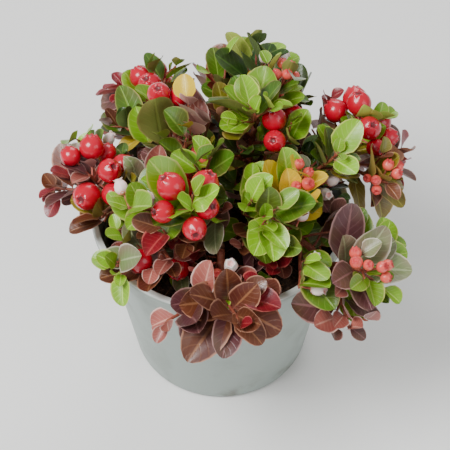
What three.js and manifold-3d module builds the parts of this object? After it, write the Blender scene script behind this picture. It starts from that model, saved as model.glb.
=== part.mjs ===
// A potted big berry wintergreen: a low evergreen shrub in a round grower's pot.
// Short woody stems rise from the soil, and each one carries a mass of foliage.
// A mass is twigs that branch by a seeded rule, with leaves, red berries, coral
// young fruit and flower buds fused on. Units are millimetres and +Z is up. The
// origin is the centre of the pot's flat underside.
import * as THREE from "three";
import { mergeVertices } from "three/addons/utils/BufferGeometryUtils.js";
import Module from "manifold-3d";

const wasm = await Module();
wasm.setup();

// Driving dimensions of the pot and its soil
const POT_HEIGHT = 95;
const RIM_RADIUS = 60;
const BASE_RADIUS = 43;
const WALL = 1.2;
const COLLAR_HEIGHT = 15;
const COLLAR_STEP = 1.2;
const LIP_HEIGHT = 3.4;
const LIP_OVERHANG = 1.8;
const SOIL_DEPTH = 11;
const ROUND_SIDES = 40;
const DRAIN_HOLES = 8;
const DRAIN_RADIUS = 3.5;
const DRAIN_RING = 31;
const GAP = 0.3;

// Driving dimensions of the crown: each ring of masses round the pot's axis. The words
// of bears have a letter for each twig of a mass, for what grows at its tip: red
// berries, coral young fruit, flowers or only leaves.
const RINGS = [
  {
    name: "outer",
    out: 53,
    height: 106,
    reach: 37,
    lean: 46,
    foot: 30,
    turn: 20,
    bears: ["-b-c-f---", "f-c--b---", "-b-c--f--", "b-f-b-c--", "-c-b-b-f-", "-f-bc----", "c-f-b----"],
  },
  {
    name: "middle",
    out: 28,
    height: 117,
    reach: 37,
    lean: 24,
    foot: 14,
    turn: 50,
    bears: ["-c-b--f--", "-b-f-c---", "b-f-b--c-", "-c-f-----"],
  },
];
const FRONT_TURN = 279;
const FRONT_SAG = 12;

// The crown stands back from the rim at the front left, where soil shows: how far the
// masses there are drawn in and lowered, and how much smaller they are.
const OPEN_TURN = 220;
const OPEN_SHARPNESS = 6;
const OPEN_OUT = 18;
const OPEN_DROP = 5;
const OPEN_REACH = 6;
const OPEN_STEM_DROP = 9;

// How much chance moves a mass: shares of its place in the ring, its distance out and
// its reach, then millimetres of height and degrees of lean
const SWAY = { turn: 0.16, out: 0.1, reach: 0.07, height: 5, lean: 7 };
const VIGOUR = [0.8, 1.25];
const STEM_ENTRY = 0.55;
const STEM_RISE = 5;
const STEM_BEND = 0.35;
const SKY_DISTANCE = 170;
const PLACE_SEED = { ring: 500, mass: 17 };
const GROWTH_SEED = { ring: 7000, mass: 131 };

const LEAF_LENGTH = 27;
const SHORTEST_LEAF = 13;
const LEAF_OPENS = [80, 40];
const LEAF_ROLL = 32;
const LEAF_TAPER = [1.1, 0.8];
const LEAF_SPREAD = [0.75, 1.3];
const LEAF_PLUMP = [0.72, 0.84];
const PLUMP_LOSS = 0.006;
const LEAF_TRIES = 6;
const LEAF_SHRINK = 0.9;
const BERRY_RADIUS = 6;
const CORAL_RADIUS = 2.8;
const FLOWER_LENGTH = 7;

const UP = new THREE.Vector3(0, 0, 1);
const TURN = 2 * Math.PI;
const GOLDEN_TURN = THREE.MathUtils.degToRad(137.508);
const SOIL_TOP = POT_HEIGHT - SOIL_DEPTH;

// A repeatable stream of numbers from 0 to 1.
function seededRandom(seed) {
  let state = seed >>> 0;
  return () => {
    state = (state + 0x6d2b79f5) >>> 0;
    let mixed = Math.imul(state ^ (state >>> 15), state | 1);
    mixed ^= mixed + Math.imul(mixed ^ (mixed >>> 7), mixed | 61);
    return ((mixed ^ (mixed >>> 14)) >>> 0) / 4294967296;
  };
}

const mix = (low, high, share) => low + (high - low) * share;
const radians = (degrees) => (degrees * Math.PI) / 180;

// Closed geometry to a solid for joining and cutting, and back.
function solidOf(geometry) {
  const bare = geometry.clone();
  bare.deleteAttribute("normal");
  bare.deleteAttribute("uv");
  const merged = mergeVertices(bare, 1e-5);
  return new wasm.Manifold(
    new wasm.Mesh({
      numProp: 3,
      vertProperties: new Float32Array(merged.attributes.position.array),
      triVerts: new Uint32Array(merged.index.array),
    }),
  );
}

function geometryOf(solid) {
  const mesh = solid.getMesh();
  const geometry = new THREE.BufferGeometry();
  geometry.setAttribute("position", new THREE.BufferAttribute(mesh.vertProperties, 3));
  geometry.setIndex(new THREE.BufferAttribute(mesh.triVerts, 1));
  geometry.computeVertexNormals();
  return geometry;
}

function geometryFrom(points, faces) {
  const geometry = new THREE.BufferGeometry().setFromPoints(points);
  geometry.setIndex(faces.flat());
  return geometry;
}

// A round piece about the pot's axis, from a closed profile of radius and height.
function turned(profile) {
  const points = profile.map(([radius, height]) => new THREE.Vector2(radius, height));
  const geometry = new THREE.LatheGeometry(points, ROUND_SIDES);
  geometry.rotateX(Math.PI / 2);
  return solidOf(geometry);
}

// The pot's outside: a tapered wall up to the collar, then the collar to the lip.
const collarFoot = POT_HEIGHT - COLLAR_HEIGHT;
const collarTop = RIM_RADIUS - LIP_OVERHANG;
const slope = (collarTop - COLLAR_STEP - BASE_RADIUS) / POT_HEIGHT;
const wallAt = (height) => BASE_RADIUS + slope * height;
const collarAt = (height) => wallAt(height) + COLLAR_STEP;

function makePot() {
  const floorTop = 1.5 * WALL;
  const lipFoot = POT_HEIGHT - LIP_HEIGHT;
  const edge = 0.7;
  const body = turned([
    [0, 0],
    [BASE_RADIUS - 1.5, 0],
    [wallAt(1.5), 1.5],
    [wallAt(collarFoot - 1.2), collarFoot - 1.2],
    [collarAt(collarFoot), collarFoot],
    [collarAt(lipFoot), lipFoot],
    [RIM_RADIUS, lipFoot + edge],
    [RIM_RADIUS, POT_HEIGHT - edge],
    [RIM_RADIUS - edge, POT_HEIGHT],
    [collarAt(POT_HEIGHT) - WALL, POT_HEIGHT],
    [collarAt(collarFoot) - WALL, collarFoot],
    [wallAt(collarFoot - 1.2) - WALL, collarFoot - 1.2],
    [wallAt(floorTop) - WALL, floorTop],
    [0, floorTop],
  ]);
  const drains = [];
  for (let k = 0; k < DRAIN_HOLES; k++) {
    const angle = (TURN * (k + 0.5)) / DRAIN_HOLES;
    const drain = new THREE.CylinderGeometry(DRAIN_RADIUS, DRAIN_RADIUS, 10, 12);
    drain.rotateX(Math.PI / 2);
    drain.translate(DRAIN_RING * Math.cos(angle), DRAIN_RING * Math.sin(angle), 0);
    drains.push(solidOf(drain));
  }
  return body.subtract(wasm.Manifold.union(drains));
}

// The soil fills the pot with a small gap all round, and has a flat top.
function makeSoil() {
  const foot = 1.5 * WALL + GAP;
  const inset = WALL + 2 * GAP;
  return turned([
    [0, foot],
    [wallAt(foot) - inset, foot],
    [wallAt(SOIL_TOP) - inset, SOIL_TOP - 1.5],
    [wallAt(SOIL_TOP) - inset - 2, SOIL_TOP],
    [0, SOIL_TOP],
  ]);
}

// A twig's line: where it starts, its direction and its length.
function pointOn(twig, s) {
  return twig.start.clone().addScaledVector(twig.direction, twig.length * s);
}

// A direction that opens from a heading by an angle, at a turn round it.
function openFrom(heading, open, turn) {
  const guide = Math.abs(heading.z) < 0.9 ? UP : new THREE.Vector3(1, 0, 0);
  const side = new THREE.Vector3().crossVectors(guide, heading).normalize();
  const front = new THREE.Vector3().crossVectors(heading, side);
  return heading
    .clone()
    .multiplyScalar(Math.cos(open))
    .addScaledVector(side, Math.sin(open) * Math.cos(turn))
    .addScaledVector(front, Math.sin(open) * Math.sin(turn));
}

// Where light comes from at a place in the crown: up, and outwards near the edge.
function skyAt(place) {
  return new THREE.Vector3(place.x / SKY_DISTANCE, place.y / SKY_DISTANCE, 1).normalize();
}

// The centres, reaches and stems of the masses, worked out ring by ring.
function layOutCrown() {
  const masses = [];
  RINGS.forEach((ring, level) => {
    const count = ring.bears.length;
    for (let k = 0; k < count; k++) {
      const random = seededRandom(PLACE_SEED.ring * (level + 1) + PLACE_SEED.mass * k);
      const sway = () => 2 * random() - 1;
      const angle = radians(ring.turn) + (TURN * (k + SWAY.turn * sway())) / count;
      const share = (ring.out / RINGS[0].out) ** 2;
      const sag = Math.max(0, Math.cos(angle - radians(FRONT_TURN))) * share;
      const opening = Math.max(0, Math.cos(angle - radians(OPEN_TURN))) ** OPEN_SHARPNESS * share;
      const out = ring.out * (1 + SWAY.out * sway()) - OPEN_OUT * opening;
      const outward = new THREE.Vector3(Math.cos(angle), Math.sin(angle), 0);
      const centre = outward.clone().multiplyScalar(out);
      centre.z = ring.height + SWAY.height * sway() - OPEN_DROP * opening;
      const reach = ring.reach * (1 + SWAY.reach * sway()) - OPEN_REACH * opening;
      const lean = radians(ring.lean + SWAY.lean * sway());
      const stemway = outward.clone().multiplyScalar(Math.sin(lean)).addScaledVector(UP, Math.cos(lean));
      const base = centre.clone().addScaledVector(stemway, -STEM_ENTRY * reach);
      base.z = Math.max(base.z, POT_HEIGHT + STEM_RISE * (1 + sag) - OPEN_STEM_DROP * opening);
      const axis = centre.clone().sub(base).addScaledVector(UP, -0.5 * FRONT_SAG * sag).normalize();
      centre.addScaledVector(outward, 0.8 * FRONT_SAG * sag).addScaledVector(UP, -FRONT_SAG * sag);
      const foot = outward.clone().multiplyScalar(ring.foot);
      foot.z = SOIL_TOP + GAP;
      masses.push({
        name: count > 1 ? `${ring.name}_${k + 1}` : ring.name,
        bears: ring.bears[k],
        sag,
        seed: GROWTH_SEED.ring * (level + 1) + GROWTH_SEED.mass * k,
        vigour: mix(...VIGOUR, random()),
        centre,
        reach,
        axis,
        base,
        foot,
      });
    }
  });
  return masses;
}

// A stem's line from the soil to its mass: upright at the foot, bent to the mass's axis.
const LIMB_STEPS = 6;
const STEM_RADII = { foot: 2.8, collar: 1.9, tip: 1.5 };
const FLARE_SHARE = 0.2;

function limbLine(mass) {
  const height = mass.base.distanceTo(mass.foot);
  const curve = new THREE.CubicBezierCurve3(
    mass.foot,
    mass.foot.clone().addScaledVector(UP, STEM_BEND * height),
    mass.base.clone().addScaledVector(mass.axis, -STEM_BEND * height),
    mass.base,
  );
  const points = [];
  const headings = [];
  const radii = [];
  for (let k = 0; k <= LIMB_STEPS; k++) {
    const s = k / LIMB_STEPS;
    points.push(curve.getPoint(s));
    headings.push(curve.getTangent(s));
    const flare = Math.max(0, 1 - s / FLARE_SHARE);
    radii.push(mix(STEM_RADII.collar, STEM_RADII.tip, s) + (STEM_RADII.foot - STEM_RADII.collar) * flare * flare);
  }
  return { points, headings, radii };
}

// A closed tube through points, with a radius and a heading at each.
function tube({ points, headings, radii }, sides) {
  const vertices = [];
  const faces = [];
  const side = openFrom(headings[0], Math.PI / 2, 0);
  points.forEach((point, i) => {
    side.addScaledVector(headings[i], -side.dot(headings[i])).normalize();
    const front = new THREE.Vector3().crossVectors(headings[i], side);
    for (let k = 0; k < sides; k++) {
      const angle = (TURN * k) / sides;
      vertices.push(
        point
          .clone()
          .addScaledVector(side, radii[i] * Math.cos(angle))
          .addScaledVector(front, radii[i] * Math.sin(angle)),
      );
    }
  });
  const last = (points.length - 1) * sides;
  for (let i = 0; i < last; i += sides) {
    for (let k = 0; k < sides; k++) {
      const next = (k + 1) % sides;
      faces.push([i + k, i + next, i + sides + k]);
      faces.push([i + next, i + sides + next, i + sides + k]);
    }
  }
  for (let k = 1; k < sides - 1; k++) {
    faces.push([0, k + 1, k]);
    faces.push([last, last + k, last + k + 1]);
  }
  return geometryFrom(vertices, faces);
}

// Whether a ball of a mass stays in the mass's own space: inside its reach, on its
// own side of the plane half way to each other mass, clear of soil and pot.
function staysIn(mass, masses, place, radius) {
  if (place.distanceTo(mass.centre) > mass.reach - radius) return false;
  if (place.z < SOIL_TOP + 1 + radius) return false;
  return masses.every((other) => {
    if (other === mass) return true;
    const across = other.centre.clone().sub(mass.centre);
    const middle = across.length() / 2;
    return place.clone().sub(mass.centre).dot(across.normalize()) < middle - GAP - radius;
  });
}

// Whether places are each above the rim, inside the pot's wall or outside the rim.
const POT_SPACE = 1.5;

function clearOfPot(places, radius) {
  const space = POT_SPACE + radius;
  return places.every((place) => {
    const out = Math.hypot(place.x, place.y);
    return place.z > POT_HEIGHT + space || out < wallAt(SOIL_TOP) - WALL - space || out > RIM_RADIUS + space;
  });
}

function distanceToLine(place, from, to) {
  const along = to.clone().sub(from);
  const s = THREE.MathUtils.clamp(place.clone().sub(from).dot(along) / along.lengthSq(), 0, 1);
  return place.distanceTo(from.clone().addScaledVector(along, s));
}

function clearOfLimbs(limbs, places, clearance) {
  return limbs.every((limb) =>
    limb.points.every((point, k) => {
      if (k === 0) return true;
      const from = limb.points[k - 1];
      return places.every((place) => distanceToLine(place, from, point) > limb.radii[k - 1] + clearance);
    }),
  );
}

function clearOfBalls(balls, places, clearance) {
  return balls.every((ball) => places.every((place) => place.distanceTo(ball.centre) > ball.radius + clearance));
}

// The four side points of a leaf: how far along it and out from its midrib they lie.
const LEAF_SIDES = [
  [0.26, 0.86],
  [0.7, 0.9],
];
const LEAF_FOLD = 0.07;
const LEAF_DROOP = 0.1;

// A leaf is a base, four side points and a tip, folded up along its midrib.
function leafPoints(leaf) {
  const across = new THREE.Vector3().crossVectors(leaf.blade, leaf.face);
  const place = (along, out, up) =>
    leaf.base
      .clone()
      .addScaledVector(leaf.blade, along)
      .addScaledVector(across, out)
      .addScaledVector(leaf.face, up);
  const points = [place(0, 0, 0)];
  for (const hand of [1, -1]) {
    for (const [along, out] of LEAF_SIDES) {
      const up = LEAF_FOLD * leaf.width - LEAF_DROOP * leaf.length * along * along;
      points.push(place(along * leaf.length, (hand * out * leaf.width) / 2, up));
    }
  }
  points.push(place(leaf.length, 0, -LEAF_DROOP * leaf.length));
  return points;
}

// Four faces on top, then four beneath that meet in a ridge from the base to the tip.
const LEAF_FACES = [
  [0, 1, 3],
  [1, 2, 4],
  [1, 4, 3],
  [2, 5, 4],
  [0, 5, 1],
  [1, 5, 2],
  [0, 3, 5],
  [3, 4, 5],
];

// Points spread over a leaf, for the tests against limbs and fruit.
function leafSamples(points) {
  const [base, right1, right2, left1, left2, tip] = points;
  const middle = (a, b) => a.clone().add(b).multiplyScalar(0.5);
  const core1 = middle(right1, left1);
  const core2 = middle(right2, left2);
  return [
    right1,
    right2,
    left1,
    left2,
    tip,
    core1,
    core2,
    middle(core1, core2),
    middle(right1, right2),
    middle(left1, left2),
    middle(base, core1),
    middle(core2, tip),
  ];
}

// Whether points keep off the other leaves: none lies in the thin box of a leaf.
const LEAF_SPACE = 1.3;
const TWIG_SPACE = 1.3;

function clearOfLeaves(leaves, places) {
  return leaves.every((leaf) => {
    const across = new THREE.Vector3().crossVectors(leaf.blade, leaf.face);
    return places.every((place) => {
      const arm = place.clone().sub(leaf.base);
      const along = arm.dot(leaf.blade);
      if (along < 3 || along > leaf.length) return true;
      if (Math.abs(arm.dot(across)) > 0.45 * leaf.width) return true;
      const droop = (-LEAF_DROOP * along * along) / leaf.length;
      return Math.abs(arm.dot(leaf.face) - droop) > LEAF_SPACE;
    });
  });
}

// Whether places keep off the twigs, all but the one that the piece grows on.
function clearOfTwigs(twigs, own, places, clearance) {
  return twigs.every(
    (twig) =>
      twig === own ||
      places.every((place) => distanceToLine(place, twig.start, pointOn(twig, 1)) > TWIG_RADII[0] + clearance),
  );
}

function leafFits(mass, masses, limbs, grown, twig, leaf) {
  const { stem, twigs, balls, leaves } = grown;
  const points = leafPoints(leaf);
  if (!points.every((point) => staysIn(mass, masses, point, 0))) return false;
  const samples = leafSamples(points);
  if (!clearOfPot(samples, 0.03 * leaf.length)) return false;
  if (!clearOfTwigs([stem, ...twigs], twig, samples, TWIG_SPACE)) return false;
  if (!clearOfBalls(balls, samples, 0.06 * leaf.length)) return false;
  if (!clearOfLeaves(leaves, samples)) return false;
  return clearOfLimbs(limbs, samples, 0.5 + 0.14 * leaf.length);
}

// A leaf on a twig. Its root is just under the middle of the nearest of the twig's
// three faces. Each new try is smaller, turned on, and raised towards the light.
const ROOT_SINK = 0.11;

function aimLeaf(twig, s, draw, attempt) {
  const place = pointOn(twig, s);
  const sky = skyAt(place);
  const turn = draw.turn + 2 * attempt;
  const blade = openFrom(twig.direction, draw.open, turn).addScaledVector(sky, 0.15 + 0.2 * attempt);
  blade.normalize();
  const face = sky.clone().addScaledVector(blade, -sky.dot(blade)).normalize();
  const side = new THREE.Vector3().crossVectors(blade, face);
  face.multiplyScalar(Math.cos(draw.roll)).addScaledVector(side, Math.sin(draw.roll));
  const length = draw.length * LEAF_SHRINK ** attempt;
  const outs = [1, 3, 5].map((k) => openFrom(twig.direction, Math.PI / 2, (k * Math.PI) / 3));
  const out = outs.reduce((best, other) => (other.dot(blade) > best.dot(blade) ? other : best));
  const depth = mix(TWIG_RADII[0], TWIG_RADII[1], s) / 2 - ROOT_SINK;
  return {
    base: place.addScaledVector(out, depth),
    blade,
    face,
    length,
    width: length * (draw.plump - PLUMP_LOSS * length),
  };
}

const FRUITS = {
  b: { kind: "berry", count: 3, radius: BERRY_RADIUS, stalk: 9, open: 48 },
  c: { kind: "coral", count: 2, radius: CORAL_RADIUS, stalk: 7, open: 50 },
  f: { kind: "flower", count: 2, radius: FLOWER_LENGTH / 2, stalk: 7, open: 58 },
};

// A bunch of fruit or flowers fans out from near a twig's tip, towards the light.
function growBunch(mass, masses, limbs, grown, twig, random) {
  const { stem, twigs, balls } = grown;
  const turn = TURN * random();
  const fruit = FRUITS[twig.bears];
  if (!fruit) return;
  const sizes = Array.from({ length: fruit.count }, () => [random(), random()]);
  for (let k = 0; k < fruit.count * 3; k++) {
    if (balls.filter((ball) => ball.twig === twig).length === fruit.count) break;
    const s = 0.96 - 0.09 * k;
    const [big, long] = sizes[k % fruit.count];
    const from = pointOn(twig, s);
    const heading = twig.direction.clone().addScaledVector(skyAt(from), 0.8).normalize();
    const open = radians(fruit.open) * (k === 0 ? 0.3 : 1);
    const way = openFrom(heading, open, turn + k * GOLDEN_TURN);
    const radius = fruit.radius * mix(0.85, 1.08, big);
    const stalk = fruit.stalk * mix(0.8, 1.15, long);
    const centre = from.clone().addScaledVector(way, stalk + radius);
    const fits =
      staysIn(mass, masses, centre, radius) &&
      clearOfPot([centre], radius) &&
      clearOfLimbs(limbs, [centre], radius + 0.5) &&
      clearOfTwigs([stem, ...twigs], null, [centre], radius + 0.3) &&
      clearOfBalls(balls, [centre], radius + 0.3);
    if (fits) balls.push({ kind: fruit.kind, twig, from, way, centre, radius });
  }
}

const TWIGS = 9;
const TWIG_HEIGHTS = [0.95, -0.6];
const TWIG_ROOM = [0.72, 0.88];
const LEAF_SPACING = 2.5;
const STEM_TIP = [2, 1.8];
const TWIG_RADII = [0.95, 0.85];
const STALK_RADIUS = 0.35;
const STEM_SHARE = 0.56;

function twigFits(mass, masses, limbs, twig) {
  const places = [0.25, 0.5, 0.75, 1].map((s) => pointOn(twig, s));
  if (!places.every((place) => staysIn(mass, masses, place, TWIG_RADII[0]))) return false;
  return clearOfPot(places, TWIG_RADII[0]) && clearOfLimbs(limbs, places, 2.5);
}

// How far a mass's own space goes from its centre in a direction.
function roomAlong(mass, masses, direction) {
  let room = mass.reach;
  for (const other of masses) {
    const across = other.centre.clone().sub(mass.centre);
    const middle = across.length() / 2 - GAP;
    const share = direction.dot(across.normalize());
    if (share > 0.01) room = Math.min(room, middle / share);
  }
  return room;
}

// One mass: a stem, and twigs from it to targets spread evenly over the mass's space,
// with bunches near their tips and leaves along them.
function growMass(mass, masses, limbs) {
  const random = seededRandom(mass.seed);
  const start = mass.base.clone().addScaledVector(mass.axis, GAP);
  const stem = { start, direction: mass.axis, length: STEM_SHARE * mass.reach };
  const twigs = [];
  const balls = [];
  const leaves = [];
  const turn = TURN * random();
  for (let k = 0; k < TWIGS; k++) {
    const height = mix(...TWIG_HEIGHTS, (k + 0.5) / TWIGS) - 0.3 * mass.sag;
    const away = openFrom(UP, Math.acos(height), turn + k * GOLDEN_TURN);
    const room = roomAlong(mass, masses, away) * mix(...TWIG_ROOM, random());
    const target = mass.centre.clone().addScaledVector(away, room);
    const arm = target.clone().sub(stem.start);
    const along = arm.dot(stem.direction);
    const aside = Math.sqrt(Math.max(0, arm.lengthSq() - along * along));
    const s = THREE.MathUtils.clamp((along - 0.6 * aside) / stem.length, 0.15, 1);
    const from = pointOn(stem, s);
    const direction = target.sub(from);
    const length = direction.length();
    direction.normalize();
    for (let attempt = 0; attempt < 5; attempt++) {
      const twig = { start: from, direction, length: length * 0.82 ** attempt, bears: mass.bears[k] };
      if (twigFits(mass, masses, limbs, twig)) {
        twigs.push(twig);
        break;
      }
    }
  }
  const grown = { stem, twigs, balls, leaves };
  for (const twig of twigs) growBunch(mass, masses, limbs, grown, twig, random);
  for (const twig of twigs) {
    const twigTurn = TURN * random();
    const count = Math.round(twig.length / LEAF_SPACING) + 3;
    for (let k = 0; k < count; k++) {
      const share = k / (count - 1);
      const draw = {
        open: radians(mix(...LEAF_OPENS, share ** 2) * mix(0.85, 1.15, random())),
        turn: twigTurn + k * GOLDEN_TURN,
        roll: radians(mix(-LEAF_ROLL, LEAF_ROLL, random())),
        length: LEAF_LENGTH * mass.vigour * mix(...LEAF_TAPER, share) * mix(...LEAF_SPREAD, random()),
        plump: mix(...LEAF_PLUMP, random()),
      };
      for (let attempt = 0; attempt < LEAF_TRIES; attempt++) {
        const leaf = aimLeaf(twig, mix(0.25, 0.98, share), draw, attempt);
        if (leaf.length > SHORTEST_LEAF && leafFits(mass, masses, limbs, grown, twig, leaf)) {
          leaves.push(leaf);
          break;
        }
      }
    }
  }
  return grown;
}

// The solids of a mass's twigs, leaves, fruit and flowers, fused into one.
function twigSolid(twig, radii) {
  const points = [twig.start, pointOn(twig, 1)];
  return solidOf(tube({ points, headings: [twig.direction, twig.direction], radii }, 3));
}

function leafSolid(leaf) {
  return solidOf(geometryFrom(leafPoints(leaf), LEAF_FACES));
}

// A flower is an urn with four sides, and the line is its outline from stalk to mouth.
const URN = [
  [-1, 0.45],
  [-0.2, 0.85],
  [1, 0.5],
];

// A stalk enters a fruit through the middle of one face.
const STALK_FACE = 12;

function ballSolids(ball) {
  const length = ball.from.distanceTo(ball.centre) - 0.5 * ball.radius;
  const stalk = twigSolid({ start: ball.from, direction: ball.way, length }, [STALK_RADIUS, STALK_RADIUS]);
  if (ball.kind === "flower") {
    const urn = {
      points: URN.map(([along]) => ball.centre.clone().addScaledVector(ball.way, along * ball.radius)),
      headings: URN.map(() => ball.way),
      radii: URN.map(([, out]) => out * ball.radius),
    };
    return [solidOf(tube(urn, 4)), stalk];
  }
  const round =
    ball.kind === "berry"
      ? new THREE.SphereGeometry(ball.radius, 8, 4)
      : new THREE.IcosahedronGeometry(ball.radius, 0);
  const faces = (round.index ? round.toNonIndexed() : round).attributes.position;
  const entry = new THREE.Vector3();
  for (const k of [0, 1, 2]) {
    entry.add(new THREE.Vector3().fromBufferAttribute(faces, 3 * STALK_FACE + k));
  }
  entry.normalize();
  round.applyQuaternion(new THREE.Quaternion().setFromUnitVectors(entry, ball.way.clone().negate()));
  round.translate(...ball.centre.toArray());
  return [solidOf(round), stalk];
}

const SMALLEST_EDGE = 0.02;

function massSolid(grown) {
  const pieces = [twigSolid(grown.stem, STEM_TIP)];
  for (const twig of grown.twigs) pieces.push(twigSolid(twig, TWIG_RADII));
  for (const leaf of grown.leaves) pieces.push(leafSolid(leaf));
  for (const ball of grown.balls) pieces.push(...ballSolids(ball));
  const fused = wasm.Manifold.union(pieces).simplify(SMALLEST_EDGE);
  return fused.decompose().sort((a, b) => b.volume() - a.volume())[0];
}

// The materials, and the group of named pieces
const MATERIALS = {
  pot: new THREE.MeshStandardMaterial({ color: 0xb4bcb8, roughness: 0.45, metalness: 0 }),
  soil: new THREE.MeshStandardMaterial({ color: 0x2b1f18, roughness: 0.95, metalness: 0 }),
  bark: new THREE.MeshStandardMaterial({ color: 0x6e4630, roughness: 0.8, metalness: 0 }),
  foliage: new THREE.MeshStandardMaterial({ color: 0x4f7a32, roughness: 0.4, metalness: 0 }),
};

const plant = new THREE.Group();

function addPiece(name, solid, material) {
  const mesh = new THREE.Mesh(geometryOf(solid), MATERIALS[material]);
  mesh.name = name;
  plant.add(mesh);
}

addPiece("pot", makePot(), "pot");
addPiece("soil", makeSoil(), "soil");

const masses = layOutCrown();
const limbs = masses.map(limbLine);
masses.forEach((mass, k) => {
  addPiece(`stem_${mass.name}`, solidOf(tube(limbs[k], 6)), "bark");
});
masses.forEach((mass) => {
  addPiece(`foliage_${mass.name}`, massSolid(growMass(mass, masses, limbs)), "foliage");
});

export default plant;
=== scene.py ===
# %% [markdown]
# # A potted big berry wintergreen
# A low evergreen shrub in a round grower's pot: glossy oval leaves in green, bronze
# and plum, large red berries, coral young fruit and small urn flowers. The packed
# model gives the frame. Each of its parts is dressed here with a finer piece that
# grows by the same rule and stays in the same place.

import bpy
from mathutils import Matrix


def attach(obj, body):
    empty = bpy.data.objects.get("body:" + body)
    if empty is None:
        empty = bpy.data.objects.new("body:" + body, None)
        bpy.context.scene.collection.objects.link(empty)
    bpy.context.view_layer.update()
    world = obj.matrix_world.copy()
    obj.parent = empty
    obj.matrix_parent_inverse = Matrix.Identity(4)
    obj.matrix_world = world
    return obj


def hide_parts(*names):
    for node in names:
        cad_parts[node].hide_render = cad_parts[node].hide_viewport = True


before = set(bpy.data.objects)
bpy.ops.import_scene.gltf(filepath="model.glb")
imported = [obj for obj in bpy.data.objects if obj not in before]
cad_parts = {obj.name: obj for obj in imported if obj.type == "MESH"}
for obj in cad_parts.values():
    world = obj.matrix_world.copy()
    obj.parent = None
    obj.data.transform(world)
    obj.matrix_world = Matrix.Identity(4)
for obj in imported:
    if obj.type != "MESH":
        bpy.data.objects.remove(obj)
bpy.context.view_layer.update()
print("parts in the frame:", len(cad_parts))

# %% Tools and units
import math

import bmesh
import bpy
import numpy as np

MM = 0.001
UP = np.array([0.0, 0.0, 1.0])
EAST = np.array([1.0, 0.0, 0.0])
STEEP = 0.9
GOLDEN_TURN = math.radians(137.508)
GOLDEN_SHARE = 0.618


def mix(low, high, share):
    """The value that lies a share of the way from low to high."""
    return low + (high - low) * share


def srgb(red, green, blue):
    """A colour seen on a screen, 0 to 255, as the linear colour that a shader takes."""
    seen = np.array([red, green, blue]) / 255.0
    linear = np.where(seen <= 0.04045, seen / 12.92, ((seen + 0.055) / 1.055) ** 2.4)
    return (float(linear[0]), float(linear[1]), float(linear[2]), 1.0)


print("one millimetre is", MM, "of Blender's units")

# %% [markdown]
# ## From arrays to a piece
# Every new piece is a closed surface worked out with numpy as whole arrays, in
# millimetres. One helper puts an array of points and arrays of faces into a mesh,
# in metres and in the frame of the model, so nothing is ever moved afterwards.
# Writing the arrays with foreach_set is much faster than adding faces one by one.


# %% Put arrays into a mesh
def put_mesh(name, points, face_sets):
    """A smooth mesh from points (n, 3) in mm and a list of face arrays (count, corners)."""
    corners = np.concatenate([faces.ravel() for faces in face_sets])
    sizes = np.concatenate([np.full(len(faces), faces.shape[1]) for faces in face_sets])
    starts = np.concatenate([[0], np.cumsum(sizes)[:-1]])
    mesh = bpy.data.meshes.new(name)
    mesh.vertices.add(len(points))
    mesh.loops.add(len(corners))
    mesh.polygons.add(len(sizes))
    mesh.vertices.foreach_set("co", (points * MM).astype(np.float32).ravel())
    mesh.loops.foreach_set("vertex_index", corners.astype(np.int32))
    mesh.polygons.foreach_set("loop_start", starts.astype(np.int32))
    mesh.polygons.foreach_set("use_smooth", np.ones(len(sizes), bool))
    mesh.update(calc_edges=True)
    piece = bpy.data.objects.new(name, mesh)
    bpy.context.scene.collection.objects.link(piece)
    return piece


def repeated(faces, count, step):
    """The faces of a template for each of count copies whose points lie step apart."""
    shifts = step * np.arange(count)[:, None, None]
    return (faces[None] + shifts).reshape(-1, faces.shape[1])


def put_copies(name, points, face_sets):
    """A mesh of copies of a template, from points (copies, points, 3) and the template's faces."""
    count, step = points.shape[:2]
    return put_mesh(name, points.reshape(-1, 3), [repeated(faces, count, step) for faces in face_sets])


def number_points(piece, name, values):
    """Gives each point of a piece a number, under a name that its shader can read."""
    layer = piece.data.attributes.new(name, "FLOAT", "POINT")
    layer.data.foreach_set("value", values.astype(np.float32))


def dress(piece, material, slot, *nodes):
    """Gives a piece its material and its body, and hides the model's nodes that it stands for. The slot
    is not used.
    """
    piece.data.materials.append(material)
    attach(piece, "root")
    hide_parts(*nodes)
    triangles = sum(len(face.vertices) - 2 for face in piece.data.polygons)
    print(piece.name, "has", triangles, "triangles")


# %% [markdown]
# ## The rule of growth, written again
# The model's crown is eleven masses round the pot's axis, each on a woody stem that
# rises from the soil. A mass is a short stem with nine twigs that aim at targets
# spread evenly over its own space, with leaves set round each twig by the golden
# angle. The same stream of seeded numbers is written here, so every twig, leaf and
# berry comes out where the model has it.


# %% A repeatable stream of numbers
def seeded_random(seed):
    """A function that gives the next number from 0 to 1 of a stream fixed by its seed."""
    whole = 0xFFFFFFFF
    state = [seed & whole]

    def draw():
        """The next number of the stream."""
        state[0] = (state[0] + 0x6D2B79F5) & whole
        mixed = ((state[0] ^ (state[0] >> 15)) * (state[0] | 1)) & whole
        folded = ((mixed ^ (mixed >> 7)) * (mixed | 61)) & whole
        mixed ^= (mixed + folded) & whole
        return (mixed ^ (mixed >> 14)) / (whole + 1)

    return draw


print("first draw of seed 7000:", round(seeded_random(7000)(), 4))

# %% Directions
SKY_DISTANCE = 170


def unit(vector):
    """The vector divided by its length."""
    return vector / math.sqrt(vector[0] ** 2 + vector[1] ** 2 + vector[2] ** 2)


def cross(a, b):
    """The vector at right angles to a and b."""
    return np.array(
        [a[1] * b[2] - a[2] * b[1], a[2] * b[0] - a[0] * b[2], a[0] * b[1] - a[1] * b[0]]
    )


def open_from(heading, opening, turn):
    """A direction that opens from a heading by an angle, at a turn round it."""
    guide = UP if abs(heading[2]) < STEEP else EAST
    side = unit(cross(guide, heading))
    front = cross(heading, side)
    aside = side * math.cos(turn) + front * math.sin(turn)
    return heading * math.cos(opening) + aside * math.sin(opening)


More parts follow.
